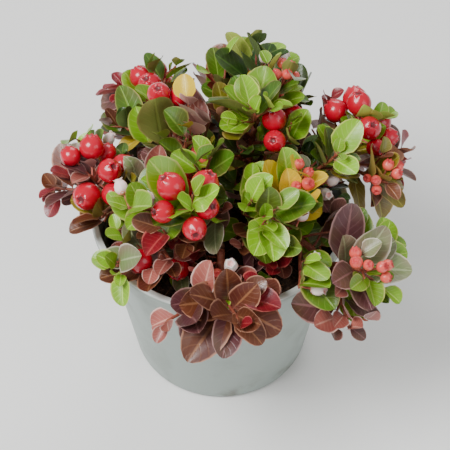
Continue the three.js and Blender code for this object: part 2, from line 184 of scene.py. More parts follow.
def sky_at(place):
    """Where light comes from at a place in the crown: up, and outwards near the edge."""
    return unit(np.array([place[0] / SKY_DISTANCE, place[1] / SKY_DISTANCE, 1.0]))


print("light at the rim comes from", sky_at(EAST * 60).round(2))

# %% Sizes of the pot, as in the model
POT_HEIGHT = 95.0
RIM_RADIUS = 60.0
BASE_RADIUS = 43.0
WALL = 1.2
COLLAR_HEIGHT = 15.0
COLLAR_STEP = 1.2
LIP_HEIGHT = 3.4
LIP_OVERHANG = 1.8
SOIL_TOP = 84.0
GAP = 0.3
COLLAR_FOOT = POT_HEIGHT - COLLAR_HEIGHT
SLOPE = (RIM_RADIUS - LIP_OVERHANG - COLLAR_STEP - BASE_RADIUS) / POT_HEIGHT


def wall_at(height):
    """The radius of the pot's tapered wall at a height."""
    return BASE_RADIUS + SLOPE * height


print("wall radius at the soil:", round(wall_at(SOIL_TOP), 1), "mm")

# %% Sizes of the crown, as in the model
# In bears, each twig of a mass has a letter: b for berries, c for coral fruit, f for
# flowers and - for leaves alone.
RINGS = [
    {
        "name": "outer",
        "out": 53,
        "height": 106,
        "reach": 37,
        "lean": 46,
        "foot": 30,
        "turn": 20,
        "bears": [
            "-b-c-f---",
            "f-c--b---",
            "-b-c--f--",
            "b-f-b-c--",
            "-c-b-b-f-",
            "-f-bc----",
            "c-f-b----",
        ],
    },
    {
        "name": "middle",
        "out": 28,
        "height": 117,
        "reach": 37,
        "lean": 24,
        "foot": 14,
        "turn": 50,
        "bears": ["-c-b--f--", "-b-f-c---", "b-f-b--c-", "-c-f-----"],
    },
]
FRONT_TURN = math.radians(279)
FRONT_SAG = 12
SAG_OUT = 0.8
SAG_TILT = 0.5
OPEN_TURN = math.radians(220)
OPEN_SHARPNESS = 6
OPEN_OUT = 18
OPEN_DROP = 5
OPEN_REACH = 6
OPEN_STEM_DROP = 9
SWAY = {"turn": 0.16, "out": 0.1, "reach": 0.07, "height": 5, "lean": 7}
VIGOUR = (0.8, 1.25)
STEM_ENTRY = 0.55
STEM_RISE = 5
PLACE_SEED = {"ring": 500, "mass": 17}
GROWTH_SEED = {"ring": 7000, "mass": 131}
print("masses in each ring:", {ring["name"]: len(ring["bears"]) for ring in RINGS})


# %% Lay out the masses
def place_mass(ring, level, k):
    """The centre, reach, stem and seed of mass k of a ring.

    The masses stand evenly round the ring, each swayed a little. Those at the front sag
    over the rim, and the one at the opening is drawn in and lower.
    """
    random = seeded_random(PLACE_SEED["ring"] * (level + 1) + PLACE_SEED["mass"] * k)

    def sway(what):
        """A drawn value up to the sway of a size, to either side."""
        return SWAY[what] * (2 * random() - 1)

    angle = math.radians(ring["turn"]) + math.tau * (k + sway("turn")) / len(ring["bears"])
    share = (ring["out"] / RINGS[0]["out"]) ** 2
    sag = max(0.0, math.cos(angle - FRONT_TURN)) * share
    opening = max(0.0, math.cos(angle - OPEN_TURN)) ** OPEN_SHARPNESS * share
    out = ring["out"] * (1 + sway("out")) - OPEN_OUT * opening
    outward = np.array([math.cos(angle), math.sin(angle), 0.0])
    centre = outward * out
    centre[2] = ring["height"] + sway("height") - OPEN_DROP * opening
    reach = ring["reach"] * (1 + sway("reach")) - OPEN_REACH * opening
    lean = math.radians(ring["lean"] + sway("lean"))
    base = centre - STEM_ENTRY * reach * (outward * math.sin(lean) + UP * math.cos(lean))
    base[2] = max(base[2], POT_HEIGHT + STEM_RISE * (1 + sag) - OPEN_STEM_DROP * opening)
    return {
        "name": f"{ring['name']}_{k + 1}",
        "bears": ring["bears"][k],
        "sag": sag,
        "seed": GROWTH_SEED["ring"] * (level + 1) + GROWTH_SEED["mass"] * k,
        "vigour": mix(*VIGOUR, random()),
        "centre": centre + outward * (SAG_OUT * FRONT_SAG * sag) - UP * (FRONT_SAG * sag),
        "reach": reach,
        "axis": unit(centre - base - UP * (SAG_TILT * FRONT_SAG * sag)),
        "base": base,
        "foot": outward * ring["foot"] + UP * (SOIL_TOP + GAP),
    }


masses = [
    place_mass(ring, level, k) for level, ring in enumerate(RINGS) for k in range(len(ring["bears"]))
]
print("masses:", [mass["name"] for mass in masses])

# %% The space of each mass
SOIL_SPACE = 1
FACING_FROM = 0.01


def fence_mass(mass):
    """The planes half way to the other masses: their directions and how far off they lie."""
    across = np.array([other["centre"] - mass["centre"] for other in masses if other is not mass])
    spans = np.linalg.norm(across, axis=1)
    mass["ways"] = across / spans[:, None]
    mass["walls"] = spans / 2 - GAP


for mass in masses:
    fence_mass(mass)


def stays_in(mass, places, radius):
    """Whether balls at places lie in the reach, above the soil and on this side of each plane."""
    arms = places - mass["centre"]
    if (arms**2).sum(axis=1).max() > (mass["reach"] - radius) ** 2:
        return False
    if places[:, 2].min() < SOIL_TOP + SOIL_SPACE + radius:
        return False
    return bool(((arms @ mass["ways"].T) < mass["walls"] - radius).all())


def room_along(mass, direction):
    """How far a mass's own space goes from its centre in a direction."""
    shares = mass["ways"] @ direction
    facing = shares > FACING_FROM
    return float(min([mass["reach"], *(mass["walls"][facing] / shares[facing])]))


print("room above the first mass:", round(room_along(masses[0], UP)), "mm")

# %% The line of each stem
LIMB_STEPS = 6
STEM_RADII = {"foot": 2.8, "collar": 1.9, "tip": 1.5}
STEM_BEND = 0.35
FLARE_SHARE = 0.2


def limb_curve(mass, s):
    """Points and headings at shares s of a stem.

    The line is a cubic curve from the foot to the base of the mass. It starts upright and
    ends along the mass's axis, each for a set share of the distance between its ends.
    """
    rise = STEM_BEND * np.linalg.norm(mass["base"] - mass["foot"])
    a, d = mass["foot"], mass["base"]
    b, c = a + UP * rise, d - mass["axis"] * rise
    s = np.asarray(s, float)[:, None]
    left = 1 - s
    places = left**3 * a + 3 * left**2 * s * b + 3 * left * s**2 * c + s**3 * d
    speeds = left**2 * (b - a) + 2 * left * s * (c - b) + s**2 * (d - c)
    return places, speeds / np.linalg.norm(speeds, axis=1)[:, None]


def limb_radius(s):
    """The stem's radius at shares s: an even taper, and a flare at the foot."""
    flare = np.clip(1 - np.asarray(s) / FLARE_SHARE, 0, None) ** 2
    even = mix(STEM_RADII["collar"], STEM_RADII["tip"], s)
    return even + (STEM_RADII["foot"] - STEM_RADII["collar"]) * flare


shares = np.arange(LIMB_STEPS + 1) / LIMB_STEPS
limb_points = [limb_curve(mass, shares)[0] for mass in masses]
limb_starts = np.concatenate([points[:-1] for points in limb_points])
limb_runs = np.concatenate([np.diff(points, axis=0) for points in limb_points])
limb_radii = np.tile(limb_radius(shares)[:-1], len(masses))
print("stem segments:", len(limb_starts))

# %% [markdown]
# ### Where there is room
# Leaves and berries on a real shrub push each other aside. Here a piece is kept only
# where it has room: each test measures how far places lie from stems, pot, twigs, fruit
# or leaves, for many places at once. A simulation could push them apart too, but it is
# slow, and a small change to it would move every leaf.

# %% Keeping clear of stems, pot, twigs and fruit
POT_SPACE = 1.5
TWIG_RADII = (0.95, 0.85)


def line_distances(places, starts, runs):
    """The distance of each place from each straight line that runs from a start."""
    arms = places[:, None] - starts[None]
    along = np.clip((arms * runs).sum(axis=2) / (runs**2).sum(axis=1), 0, 1)
    return np.sqrt(((arms - along[..., None] * runs) ** 2).sum(axis=2))


def clear_of_limbs(places, clearance):
    """Whether each place is farther than the clearance from the skin of every woody stem."""
    return bool((line_distances(places, limb_starts, limb_runs) > limb_radii + clearance).all())


def clear_of_pot(places, radius):
    """Whether each place is above the rim, inside the pot's wall or outside the rim."""
    space = POT_SPACE + radius
    out = np.hypot(places[:, 0], places[:, 1])
    inside = out < wall_at(SOIL_TOP) - WALL - space
    return bool(((places[:, 2] > POT_HEIGHT + space) | inside | (out > RIM_RADIUS + space)).all())


def clear_of_twigs(grown, own, places, clearance):
    """Whether places keep off a mass's stem and twigs, all but the one that the piece grows on."""
    others = [twig for twig in (grown["stem"], *grown["twigs"]) if twig is not own]
    starts = np.array([twig["start"] for twig in others])
    runs = np.array([twig["direction"] * twig["length"] for twig in others])
    return bool((line_distances(places, starts, runs) > TWIG_RADII[0] + clearance).all())


def clear_of_balls(grown, places, clearance):
    """Whether each place is farther than the clearance from the skin of all fruit and flowers."""
    if not grown["balls"]:
        return True
    centres = np.array([ball["centre"] for ball in grown["balls"]])
    radii = np.array([ball["radius"] for ball in grown["balls"]])
    gaps = np.sqrt(((places[:, None] - centres[None]) ** 2).sum(axis=2))
    return bool((gaps > radii + clearance).all())


print("a place high over the pot is clear of it:", clear_of_pot(2 * POT_HEIGHT * UP[None], 0))

# %% Keeping clear of leaves
# The box of a leaf droops as the blade does. It starts a little past the stalk, and its
# width is a share of the blade's.
LEAF_DROOP = 0.1
BOX_FROM = 3
BOX_SHARE = 0.45
EDGE_SHARE = 0.4


def clear_of_leaves(kept, places, space):
    """Whether no place lies in the thin box of a leaf that is there already."""
    n = kept["count"]
    if n == 0:
        return True
    arms = places[:, None] - kept["base"][None, :n]
    along = (arms * kept["blade"][:n]).sum(axis=2)
    across = np.abs((arms * kept["across"][:n]).sum(axis=2))
    length = kept["length"][:n]
    lift = (arms * kept["face"][:n]).sum(axis=2) + LEAF_DROOP * along**2 / length
    over = (along >= BOX_FROM) & (along <= length) & (across <= BOX_SHARE * kept["width"][:n])
    return not bool((over & (np.abs(lift) <= space)).any())


def clear_of_leaf_edges(kept, centre, clearance):
    """Whether a place is farther than the clearance from the oblong round each leaf that is there."""
    n = kept["count"]
    arms = centre - kept["base"][:n]
    along = (arms * kept["blade"][:n]).sum(axis=1)
    across = np.abs((arms * kept["across"][:n]).sum(axis=1))
    lift = (arms * kept["face"][:n]).sum(axis=1) + LEAF_DROOP * along**2 / kept["length"][:n]
    past = np.maximum(np.maximum(-along, along - kept["length"][:n]), 0)
    beside = np.maximum(across - EDGE_SHARE * kept["width"][:n], 0)
    return bool((past**2 + beside**2 + lift**2 > clearance**2).all())


def leaves_clear_of(kept, leaf, space):
    """Whether no tested place of the leaves that are there lies in the thin box of a new leaf."""
    arms = kept["places"][: kept["count"]].reshape(-1, 3) - leaf["base"]
    along = arms @ leaf["blade"]
    lift = arms @ leaf["face"] + LEAF_DROOP * along**2 / leaf["length"]
    over = (along > BOX_FROM) & (along < leaf["length"])
    over &= np.abs(arms @ leaf["across"]) < BOX_SHARE * leaf["width"]
    return not bool((over & (np.abs(lift) < space)).any())


print("a leaf's box covers", 2 * BOX_SHARE, "of its width")

# %% [markdown]
# ### Leaves, bunches and twigs
# A leaf opens from its twig at a wide angle near the foot and at a narrow one near the
# tip, each turned on from the last by the golden angle, so that it shades few others.
# Fruit and flowers fan out in a bunch near the tip. Each piece here tries a few places,
# smaller, turned on or raised to the light each time, until one fits.

# %% A leaf's place on its twig
LEAF_SHRINK = 0.9
LEAF_RAISE = (0.15, 0.2)
RETRY_TURN = 2
PLUMP_LOSS = 0.006
ROOT_SINK = 0.11


def point_on(twig, s):
    """The point at a share s of a twig."""
    return twig["start"] + twig["direction"] * (twig["length"] * s)


def aim_leaf(twig, s, draw, attempt):
    """A leaf that opens from its twig. Each new try is smaller, turned on and raised to the light.

    In the model a twig has three faces. The leaf's root is just under the middle of the one
    that looks most its way.
    """
    place = point_on(twig, s)
    sky = sky_at(place)
    turned = open_from(twig["direction"], draw["open"], draw["turn"] + RETRY_TURN * attempt)
    blade = unit(turned + sky * (LEAF_RAISE[0] + LEAF_RAISE[1] * attempt))
    flat = unit(sky - blade * (sky @ blade))
    face = flat * math.cos(draw["roll"]) + cross(blade, flat) * math.sin(draw["roll"])
    length = draw["length"] * LEAF_SHRINK**attempt
    outs = [open_from(twig["direction"], math.pi / 2, k * math.pi / 3) for k in (1, 3, 5)]
    out = max(outs, key=lambda other: other @ blade)
    return {
        "base": place + out * (mix(*TWIG_RADII, s) / 2 - ROOT_SINK),
        "blade": blade,
        "face": face,
        "across": cross(blade, face),
        "length": length,
        "width": length * (draw["plump"] - PLUMP_LOSS * length),
        "s": s,
    }


print("a leaf's third try has", round(LEAF_SHRINK**2, 2), "of its length")

# %% The places tested on a leaf
LEAF_SIDES = ((0.26, 0.86), (0.7, 0.9))
LEAF_FOLD = 0.07


def leaf_corners(leaf):
    """The base, two right and two left side points, and the tip of a leaf."""
    length, width = leaf["length"], leaf["width"]
    rows = [(0.0, 0.0, 0.0)]
    for hand in (1, -1):
        for along, out in LEAF_SIDES:
            lift = LEAF_FOLD * width - LEAF_DROOP * length * along**2
            rows.append((along * length, hand * out * width / 2, lift))
    rows.append((length, 0.0, -LEAF_DROOP * length))
    return leaf["base"] + np.array(rows) @ np.array([leaf["blade"], leaf["across"], leaf["face"]])


# Each row is one tested place, as shares of the six corners. The first seven are the
# corners after the base, and the middles between two side points at one distance.
SAMPLE_SHARES = np.zeros((12, 6))
for row, (a, b) in enumerate([(1, 1), (2, 2), (3, 3), (4, 4), (5, 5), (1, 3), (2, 4)]):
    SAMPLE_SHARES[row, a] += 0.5
    SAMPLE_SHARES[row, b] += 0.5
SAMPLE_SHARES[7, 1:5] = 0.25
SAMPLE_SHARES[8, 1:3] = 0.5
SAMPLE_SHARES[9, 3:5] = 0.5
SAMPLE_SHARES[10, [0, 1, 3]] = (0.5, 0.25, 0.25)
SAMPLE_SHARES[11, [2, 4, 5]] = (0.25, 0.25, 0.5)
print("places tested on each leaf:", len(SAMPLE_SHARES))

# %% Whether a leaf fits
# How far a leaf keeps from other leaves and twigs in mm, and from stems as a share of
# its length: first as in the model, then for the finer shoots. How far it keeps from the
# pot and from fruit is a share of its length too.
MODEL_ROOM = {"leaf": 1.3, "twig": 1.3, "limb": 0.14}
FINE_ROOM = {"leaf": 1.2, "twig": 0.3, "limb": 0.05}
POT_SHARE = 0.03
BALL_SHARE = 0.06
LIMB_SPACE = 0.5


def leaf_fits(mass, grown, leaf, room):
    """Whether a leaf stays in its mass's space and clear of all that has grown."""
    corners = leaf_corners(leaf)
    if not stays_in(mass, corners, 0):
        return False
    samples = SAMPLE_SHARES @ corners
    if not clear_of_pot(samples, POT_SHARE * leaf["length"]):
        return False
    if not clear_of_leaves(grown["kept"], samples, room["leaf"]):
        return False
    if not clear_of_balls(grown, samples, BALL_SHARE * leaf["length"]):
        return False
    if not clear_of_twigs(grown, leaf["twig"], samples, room["twig"]):
        return False
    return clear_of_limbs(samples, LIMB_SPACE + room["limb"] * leaf["length"])


def keep_leaf(grown, leaf):
    """Adds a leaf to the list, and its box to the arrays that new leaves are tested against."""
    kept = grown["kept"]
    n = kept["count"]
    for name in ("base", "blade", "across", "face", "length", "width"):
        kept[name][n] = leaf[name]
    kept["places"][n] = SAMPLE_SHARES @ leaf_corners(leaf)
    kept["count"] = n + 1
    grown["leaves"].append(leaf)
    leaf["twig"]["used"] = max(leaf["twig"]["used"], leaf["s"])


print("the points of a finer leaf keep", FINE_ROOM["leaf"], "mm off other leaves")

# %% Bunches of berries, young fruit and flowers
FRUITS = {
    "b": {"kind": "berry", "count": 3, "radius": 6, "stalk": 9, "open": 48},
    "c": {"kind": "coral", "count": 2, "radius": 2.8, "stalk": 7, "open": 50},
    "f": {"kind": "flower", "count": 2, "radius": 3.5, "stalk": 7, "open": 58},
}
TRIES_EACH = 3
BUNCH_FROM = 0.96
BUNCH_STEP = 0.09
BUNCH_RAISE = 0.8
FIRST_OPENS = 0.3
FRUIT_SPREAD = (0.85, 1.08)
STALK_SPREAD = (0.8, 1.15)
MODEL_SPACE = {"twig": 0.3, "ball": 0.3}
CLOSE_SPACE = {"twig": -0.6, "ball": -0.1}


def ball_fits(mass, grown, centre, radius, space):
    """Whether a fruit or flower stays in its mass's space and clear of all but the leaves."""
    place = centre[None]
    return (
        stays_in(mass, place, radius)
        and clear_of_pot(place, radius)
        and clear_of_limbs(place, radius + LIMB_SPACE)
        and clear_of_twigs(grown, None, place, radius + space["twig"])
        and clear_of_balls(grown, place, radius + space["ball"])
    )


def keep_ball(grown, kind, twig, start, centre, radius, way):
    """Adds a fruit or flower, on a stalk that leaves its twig at start."""
    ball = {"kind": kind, "twig": twig, "start": start, "centre": centre, "radius": radius, "way": way}
    grown["balls"].append(ball)


def grow_bunch(mass, grown, twig, random):
    """A bunch fans out from near a twig's tip, towards the light, where each piece has room."""
    turn = math.tau * random()
    fruit = FRUITS.get(twig["bears"])
    if fruit is None:
        return
    sizes = [(random(), random()) for _ in range(fruit["count"])]
    for k in range(TRIES_EACH * fruit["count"]):
        if sum(ball["twig"] is twig for ball in grown["balls"]) == fruit["count"]:
            break
        big, long = sizes[k % fruit["count"]]
        s = BUNCH_FROM - BUNCH_STEP * k
        start = point_on(twig, s)
        heading = unit(twig["direction"] + sky_at(start) * BUNCH_RAISE)
        opens = math.radians(fruit["open"]) * (FIRST_OPENS if k == 0 else 1)
        way = open_from(heading, opens, turn + k * GOLDEN_TURN)
        radius = fruit["radius"] * mix(*FRUIT_SPREAD, big)
        centre = start + way * (fruit["stalk"] * mix(*STALK_SPREAD, long) + radius)
        if ball_fits(mass, grown, centre, radius, MODEL_SPACE):
            keep_ball(grown, fruit["kind"], twig, start, centre, radius, way)
            twig["used"] = max(twig["used"], s)


print("pieces of a bunch:", {fruit["kind"]: fruit["count"] for fruit in FRUITS.values()})

# %% Twigs of a mass
TWIGS = 9
TWIG_HEIGHTS = (0.95, -0.6)
TWIG_ROOM = (0.72, 0.88)
TWIG_SHRINK = 0.82
TWIG_TRIES = 5
TWIG_SPACE = 2.5
TWIG_SAG = 0.3
LOWEST_START = 0.15
START_BACK = 0.6
BARE_FROM = 0.3


def twig_fits(mass, twig, radius, space):
    """Whether a twig of a radius stays in its mass's space and clear of the pot and the stems."""
    places = np.array([point_on(twig, s) for s in (0.25, 0.5, 0.75, 1)])
    if not stays_in(mass, places, radius) or not clear_of_pot(places, radius):
        return False
    return clear_of_limbs(places, space)


def grow_twigs(mass, grown, random):
    """Nine twigs from the mass's stem to targets spread evenly over its space."""
    stem = grown["stem"]
    turn = math.tau * random()
    for k in range(TWIGS):
        height = mix(*TWIG_HEIGHTS, (k + 0.5) / TWIGS) - TWIG_SAG * mass["sag"]
        away = open_from(UP, math.acos(height), turn + k * GOLDEN_TURN)
        target = mass["centre"] + away * (room_along(mass, away) * mix(*TWIG_ROOM, random()))
        arm = target - stem["start"]
        along = arm @ stem["direction"]
        aside = math.sqrt(max(0.0, arm @ arm - along * along))
        share = (along - START_BACK * aside) / stem["length"]
        start = point_on(stem, min(max(share, LOWEST_START), 1))
        length = math.dist(target, start)
        for attempt in range(TWIG_TRIES):
            twig = {
                "start": start,
                "direction": unit(target - start),
                "length": length * TWIG_SHRINK**attempt,
                "bears": mass["bears"][k],
                "spray": k,
                "rank": 1,
                "used": BARE_FROM,
            }
            if twig_fits(mass, twig, TWIG_RADII[0], TWIG_SPACE):
                grown["twigs"].append(twig)
                break


print("twigs aimed at the space of a mass:", TWIGS)

# %% Leaves of a mass
LEAF_LENGTH = 27
SHORTEST_LEAF = 13
LEAF_SPACING = 2.5
LEAF_OPENS = (80, 40)
OPEN_SPREAD = (0.85, 1.15)
LEAF_ROLL = 32
LEAF_TAPER = (1.1, 0.8)
LEAF_SPREAD = (0.75, 1.3)
LEAF_PLUMP = (0.72, 0.84)
LEAF_REACH = (0.25, 0.98)
LEAF_TRIES = 6
MORE_PLACES = 3


def grow_leaves(mass, grown, random):
    """Leaves set round each twig by the golden angle, long near its foot and short near its tip."""
    for twig in grown["twigs"]:
        twig_turn = math.tau * random()
        count = math.floor(twig["length"] / LEAF_SPACING + 0.5) + MORE_PLACES
        for k in range(count):
            share = k / (count - 1)
            length = LEAF_LENGTH * mass["vigour"] * mix(*LEAF_TAPER, share)
            draw = {
                "open": math.radians(mix(*LEAF_OPENS, share**2) * mix(*OPEN_SPREAD, random())),
                "turn": twig_turn + k * GOLDEN_TURN,
                "roll": math.radians(mix(-LEAF_ROLL, LEAF_ROLL, random())),
                "length": length * mix(*LEAF_SPREAD, random()),
                "plump": mix(*LEAF_PLUMP, random()),
            }
            for attempt in range(LEAF_TRIES):
                leaf = aim_leaf(twig, mix(*LEAF_REACH, share), draw, attempt)
                leaf.update(twig=twig, young=False)
                if leaf["length"] > SHORTEST_LEAF and leaf_fits(mass, grown, leaf, MODEL_ROOM):
                    keep_leaf(grown, leaf)
                    break


longest = LEAF_LENGTH * VIGOUR[1] * LEAF_TAPER[0] * LEAF_SPREAD[1]
print("a leaf is at most", round(longest), "mm long")

# %% Grow what the model has
STEM_SHARE = 0.56
MASS_LEAVES = 400


def room_for_leaves(size):
    """Arrays with space for the boxes of that many leaves."""
    vectors = {name: np.zeros((size, 3)) for name in ("base", "blade", "across", "face")}
    places = np.zeros((size, len(SAMPLE_SHARES), 3))
    return {"count": 0, "length": np.ones(size), "width": np.ones(size), "places": places, **vectors}


def grow_mass(mass):
    """A mass's stem, and the twigs, fruit, flowers and leaves on it."""
    random = seeded_random(mass["seed"])
    stem = {
        "start": mass["base"] + mass["axis"] * GAP,
        "direction": mass["axis"],
        "length": STEM_SHARE * mass["reach"],
    }
    kept = room_for_leaves(MASS_LEAVES)
    grown = {"mass": mass, "stem": stem, "twigs": [], "balls": [], "leaves": [], "kept": kept}
    grow_twigs(mass, grown, random)
    for twig in grown["twigs"]:
        grow_bunch(mass, grown, twig, random)
    grow_leaves(mass, grown, random)
    return grown


crown = [grow_mass(mass) for mass in masses]


def print_crown(moment):
    """Prints how much the crown has at a moment."""
    counts = {kind: sum(len(grown[kind]) for grown in crown) for kind in ("twigs", "leaves", "balls")}
    print(moment, counts)


print_crown("as in the model:")

# %% [markdown]
# ## Finer shoots
# The model stops at nine twigs a mass. The real shrub goes one step further: short
# side shoots with small young leaves fill the crown, a leafy twig ends in a tight
# rosette round its bud, and low shoots spread over the soil. They follow the same rule
# with smaller numbers, draw from their own seeds, and keep to the same space, so the
# outline stays the same. A shoot on which no leaf finds room is taken out again.

# %% Fill the bunches
MORE_SEED = 3
MORE_FRUIT = 2
MORE_TRIES = 10
MORE_SPREAD = (0.78, 1.0)
NESTLE = 0.92
STEP_BACK = 0.42
FILL_TURN = 0.6
EDGE_ROOM = 0.6
STALK_BACK = 0.6


def fill_bunch(mass, grown, first, random):
    """More fruit close round one that the model has, each on its own stalk from the same twig."""
    side = open_from(first["way"], math.pi / 2, math.tau * random())
    front = cross(first["way"], side)
    added = 0
    for k in range(MORE_TRIES):
        if added == MORE_FRUIT:
            break
        radius = first["radius"] * mix(*MORE_SPREAD, random())
        turn = FILL_TURN * k + math.tau * random()
        spread = NESTLE * (radius + first["radius"])
        around = side * math.cos(turn) + front * math.sin(turn)
        centre = first["centre"] + around * spread - first["way"] * (STEP_BACK * spread)
        fits = ball_fits(mass, grown, centre, radius, CLOSE_SPACE)
        if fits and clear_of_leaf_edges(grown["kept"], centre, EDGE_ROOM * radius):
            twig = first["twig"]
            start = first["start"] - twig["direction"] * (STALK_BACK + added)
            keep_ball(grown, first["kind"], twig, start, centre, radius, unit(centre - start))
            added += 1


for grown in crown:
    random = seeded_random(grown["mass"]["seed"] + MORE_SEED)
    for ball in list(grown["balls"]):
        if ball["kind"] != "flower":
            fill_bunch(grown["mass"], grown, ball, random)
print_crown("with full bunches:")

# %% Add a shoot
SHOOT_RADII = (0.6, 0.45)
SHOOT_SPACE = 1.2
SHOOT_TRIES = 4
SHOOT_SHRINK = 0.8


def add_shoot(mass, grown, start, direction, length, spray):
    """Adds a shoot, shortened until it fits, and gives it back. Gives None when there is no room."""
    for attempt in range(SHOOT_TRIES):
        shoot = {
            "start": start,
            "direction": direction,
            "length": length * SHOOT_SHRINK**attempt,
            "bears": "-",
            "spray": spray,
            "rank": 2,
            "used": BARE_FROM,
        }
        end = point_on(shoot, 1)[None]
        if twig_fits(mass, shoot, SHOOT_RADII[0], SHOOT_SPACE) and clear_of_balls(grown, end, 1):
            grown["twigs"].append(shoot)
            return shoot
    return None


print("a shoot is", 2 * SHOOT_RADII[0], "mm thick at its foot")

# %% Add small leaves
# A plan says how many leaves are tried on a twig, how long and how far open the first
# and the last of them are, and between which shares of the twig they stand.
TIP_LEAVES = {"count": 6, "sizes": (19, 8), "opens": (68, 40), "reach": (0.9, 1.0), "young": True}
SIDE_LEAVES = {"count": 8, "sizes": (23, 9), "opens": (78, 38), "reach": (0.35, 1.0), "young": True}
MORE_LEAVES = {"count": 8, "sizes": (25, 15), "opens": (80, 55), "reach": (0.15, 0.9), "young": True}
SMALL_LEAVES = {"count": 10, "sizes": (19, 12), "opens": (85, 50), "reach": (0.12, 0.95), "young": True}
LOW_LEAVES = {"count": 10, "sizes": (25, 13), "opens": (80, 40), "reach": (0.3, 1.0), "young": False}
SMALL_ROLL = 18
SMALL_SPREAD = (0.8, 1.2)
SMALL_PLUMP = (0.72, 0.92)
SMALLEST_LEAF = 7
SMALL_TRIES = 5


def add_leaves(mass, grown, twig, plan, random):
    """Leaves along a twig by a plan. Gives the new ones."""
    turn = math.tau * random()
    before = len(grown["leaves"])
    for k in range(plan["count"]):
        share = k / (plan["count"] - 1)
        draw = {
            "open": math.radians(mix(*plan["opens"], share) * mix(*OPEN_SPREAD, random())),
            "turn": turn + k * GOLDEN_TURN,
            "roll": math.radians(mix(-SMALL_ROLL, SMALL_ROLL, random())),
            "length": mass["vigour"] * mix(*plan["sizes"], share) * mix(*SMALL_SPREAD, random()),
            "plump": mix(*SMALL_PLUMP, random()),
        }
        for attempt in range(SMALL_TRIES):
            leaf = aim_leaf(twig, mix(*plan["reach"], share), draw, attempt)
            leaf.update(twig=twig, young=plan["young"])
            fits = leaf["length"] > SMALLEST_LEAF and leaf_fits(mass, grown, leaf, FINE_ROOM)
            if fits and leaves_clear_of(grown["kept"], leaf, FINE_ROOM["leaf"]):
                keep_leaf(grown, leaf)
                break
    return grown["leaves"][before:]


def leaf_out(mass, grown, shoot, plan, random):
    """Gives a shoot its leaves. A shoot on which no leaf finds room is taken out again."""
    leaves = add_leaves(mass, grown, shoot, plan, random)
    if not leaves:
        grown["twigs"] = [twig for twig in grown["twigs"] if twig is not shoot]
    return leaves


print("leaves tried on a side shoot:", SIDE_LEAVES["count"])

# %% Side shoots and rosettes
SHOOT_SEED = 5
SIDE_SHOOTS = 3
SIDE_FROM = 0.28
SIDE_STEP = 0.24
SIDE_LOOSE = 0.1
SIDE_OPENS = (42, 62)
SIDE_RAISE = 0.5
SIDE_LENGTHS = (11, 19)
STEM_SHOOTS = 7
STEM_FROM = 0.04
STEM_STEP = 0.13
STEM_OPENS = (60, 95)
STEM_LENGTHS = (15, 30)


def grow_side_shoots(mass, grown, random):
    """Three short shoots from each twig, and the leaves of those that find room."""
    shoots = []
    for twig in list(grown["twigs"]):
        turn = math.tau * random()
        for k in range(SIDE_SHOOTS):
            start = point_on(twig, SIDE_FROM + SIDE_STEP * k + SIDE_LOOSE * random())
            opens = math.radians(mix(*SIDE_OPENS, random()))
            way = open_from(twig["direction"], opens, turn + k * GOLDEN_TURN)
            way = unit(way + sky_at(start) * SIDE_RAISE)
            length = mix(*SIDE_LENGTHS, random()) * mass["vigour"]
            shoots.append(add_shoot(mass, grown, start, way, length, twig["spray"]))
    for shoot in filter(None, shoots):
        leaf_out(mass, grown, shoot, SIDE_LEAVES, random)


def grow_stem_shoots(mass, grown, random):
    """Spreading shoots with full-grown leaves, from the mass's own stem to all sides."""
    turn = math.tau * random()
    for k in range(STEM_SHOOTS):
        start = point_on(grown["stem"], STEM_FROM + STEM_STEP * k)
        way = open_from(UP, math.radians(mix(*STEM_OPENS, random())), turn + k * GOLDEN_TURN)
        shoot = add_shoot(mass, grown, start, way, mix(*STEM_LENGTHS, random()), TWIGS - 1 - k)
        if shoot:
            leaf_out(mass, grown, shoot, LOW_LEAVES, random)


for grown in crown:
    mass = grown["mass"]
    random = seeded_random(mass["seed"] + SHOOT_SEED)
    own_twigs = list(grown["twigs"])
    for twig in own_twigs:
        if twig["bears"] == "-":
            add_leaves(mass, grown, twig, TIP_LEAVES, random)
    grow_side_shoots(mass, grown, random)
    for twig in own_twigs:
        add_leaves(mass, grown, twig, MORE_LEAVES, random)
    grow_stem_shoots(mass, grown, random)
    for twig in own_twigs:
        add_leaves(mass, grown, twig, SMALL_LEAVES, random)
print_crown("with the finer shoots:")

# %% Low shoots over the soil
LOW_TARGETS = 80
LOW_SEED = 97
LOW_SPREAD = 50
LOW_RISE = (6, 12)
LOW_CENTRE = 8
LOW_REACH = 52
WOOD_SHARES = np.linspace(0.2, 0.95, 16)
CROWN_LEAVES = 1500
SHORTEST_LOW_SHOOT = 8
OFF_THE_AXIS = 1.4


def gather_crown():
    """One record of all that has grown, with a space of its own inside the pot's wall.

    Its twigs include the stems of all masses.
    """
    gathered = {
        "mass": {
            "centre": UP * (SOIL_TOP + LOW_CENTRE),
            "reach": LOW_REACH,
            "ways": np.zeros((0, 3)),
            "walls": np.zeros(0),
            "vigour": 1.0,
        },
        "stem": crown[0]["stem"],
        "twigs": [twig for grown in crown for twig in (grown["stem"], *grown["twigs"])],
        "balls": [ball for grown in crown for ball in grown["balls"]],
        "leaves": [],
        "kept": room_for_leaves(CROWN_LEAVES),
    }
    for grown in crown:
        for leaf in grown["leaves"]:
            keep_leaf(gathered, leaf)
    return gathered


def low_targets():
    """Places spread evenly over the soil by the golden angle, at heights that also spread evenly."""
    k = np.arange(LOW_TARGETS)
    out = LOW_SPREAD * np.sqrt((k + 0.5) / LOW_TARGETS)
    height = SOIL_TOP + LOW_RISE[0] + LOW_RISE[1] * (k * GOLDEN_SHARE % 1)
    return np.stack([out * np.cos(k * GOLDEN_TURN), out * np.sin(k * GOLDEN_TURN), height], axis=1)


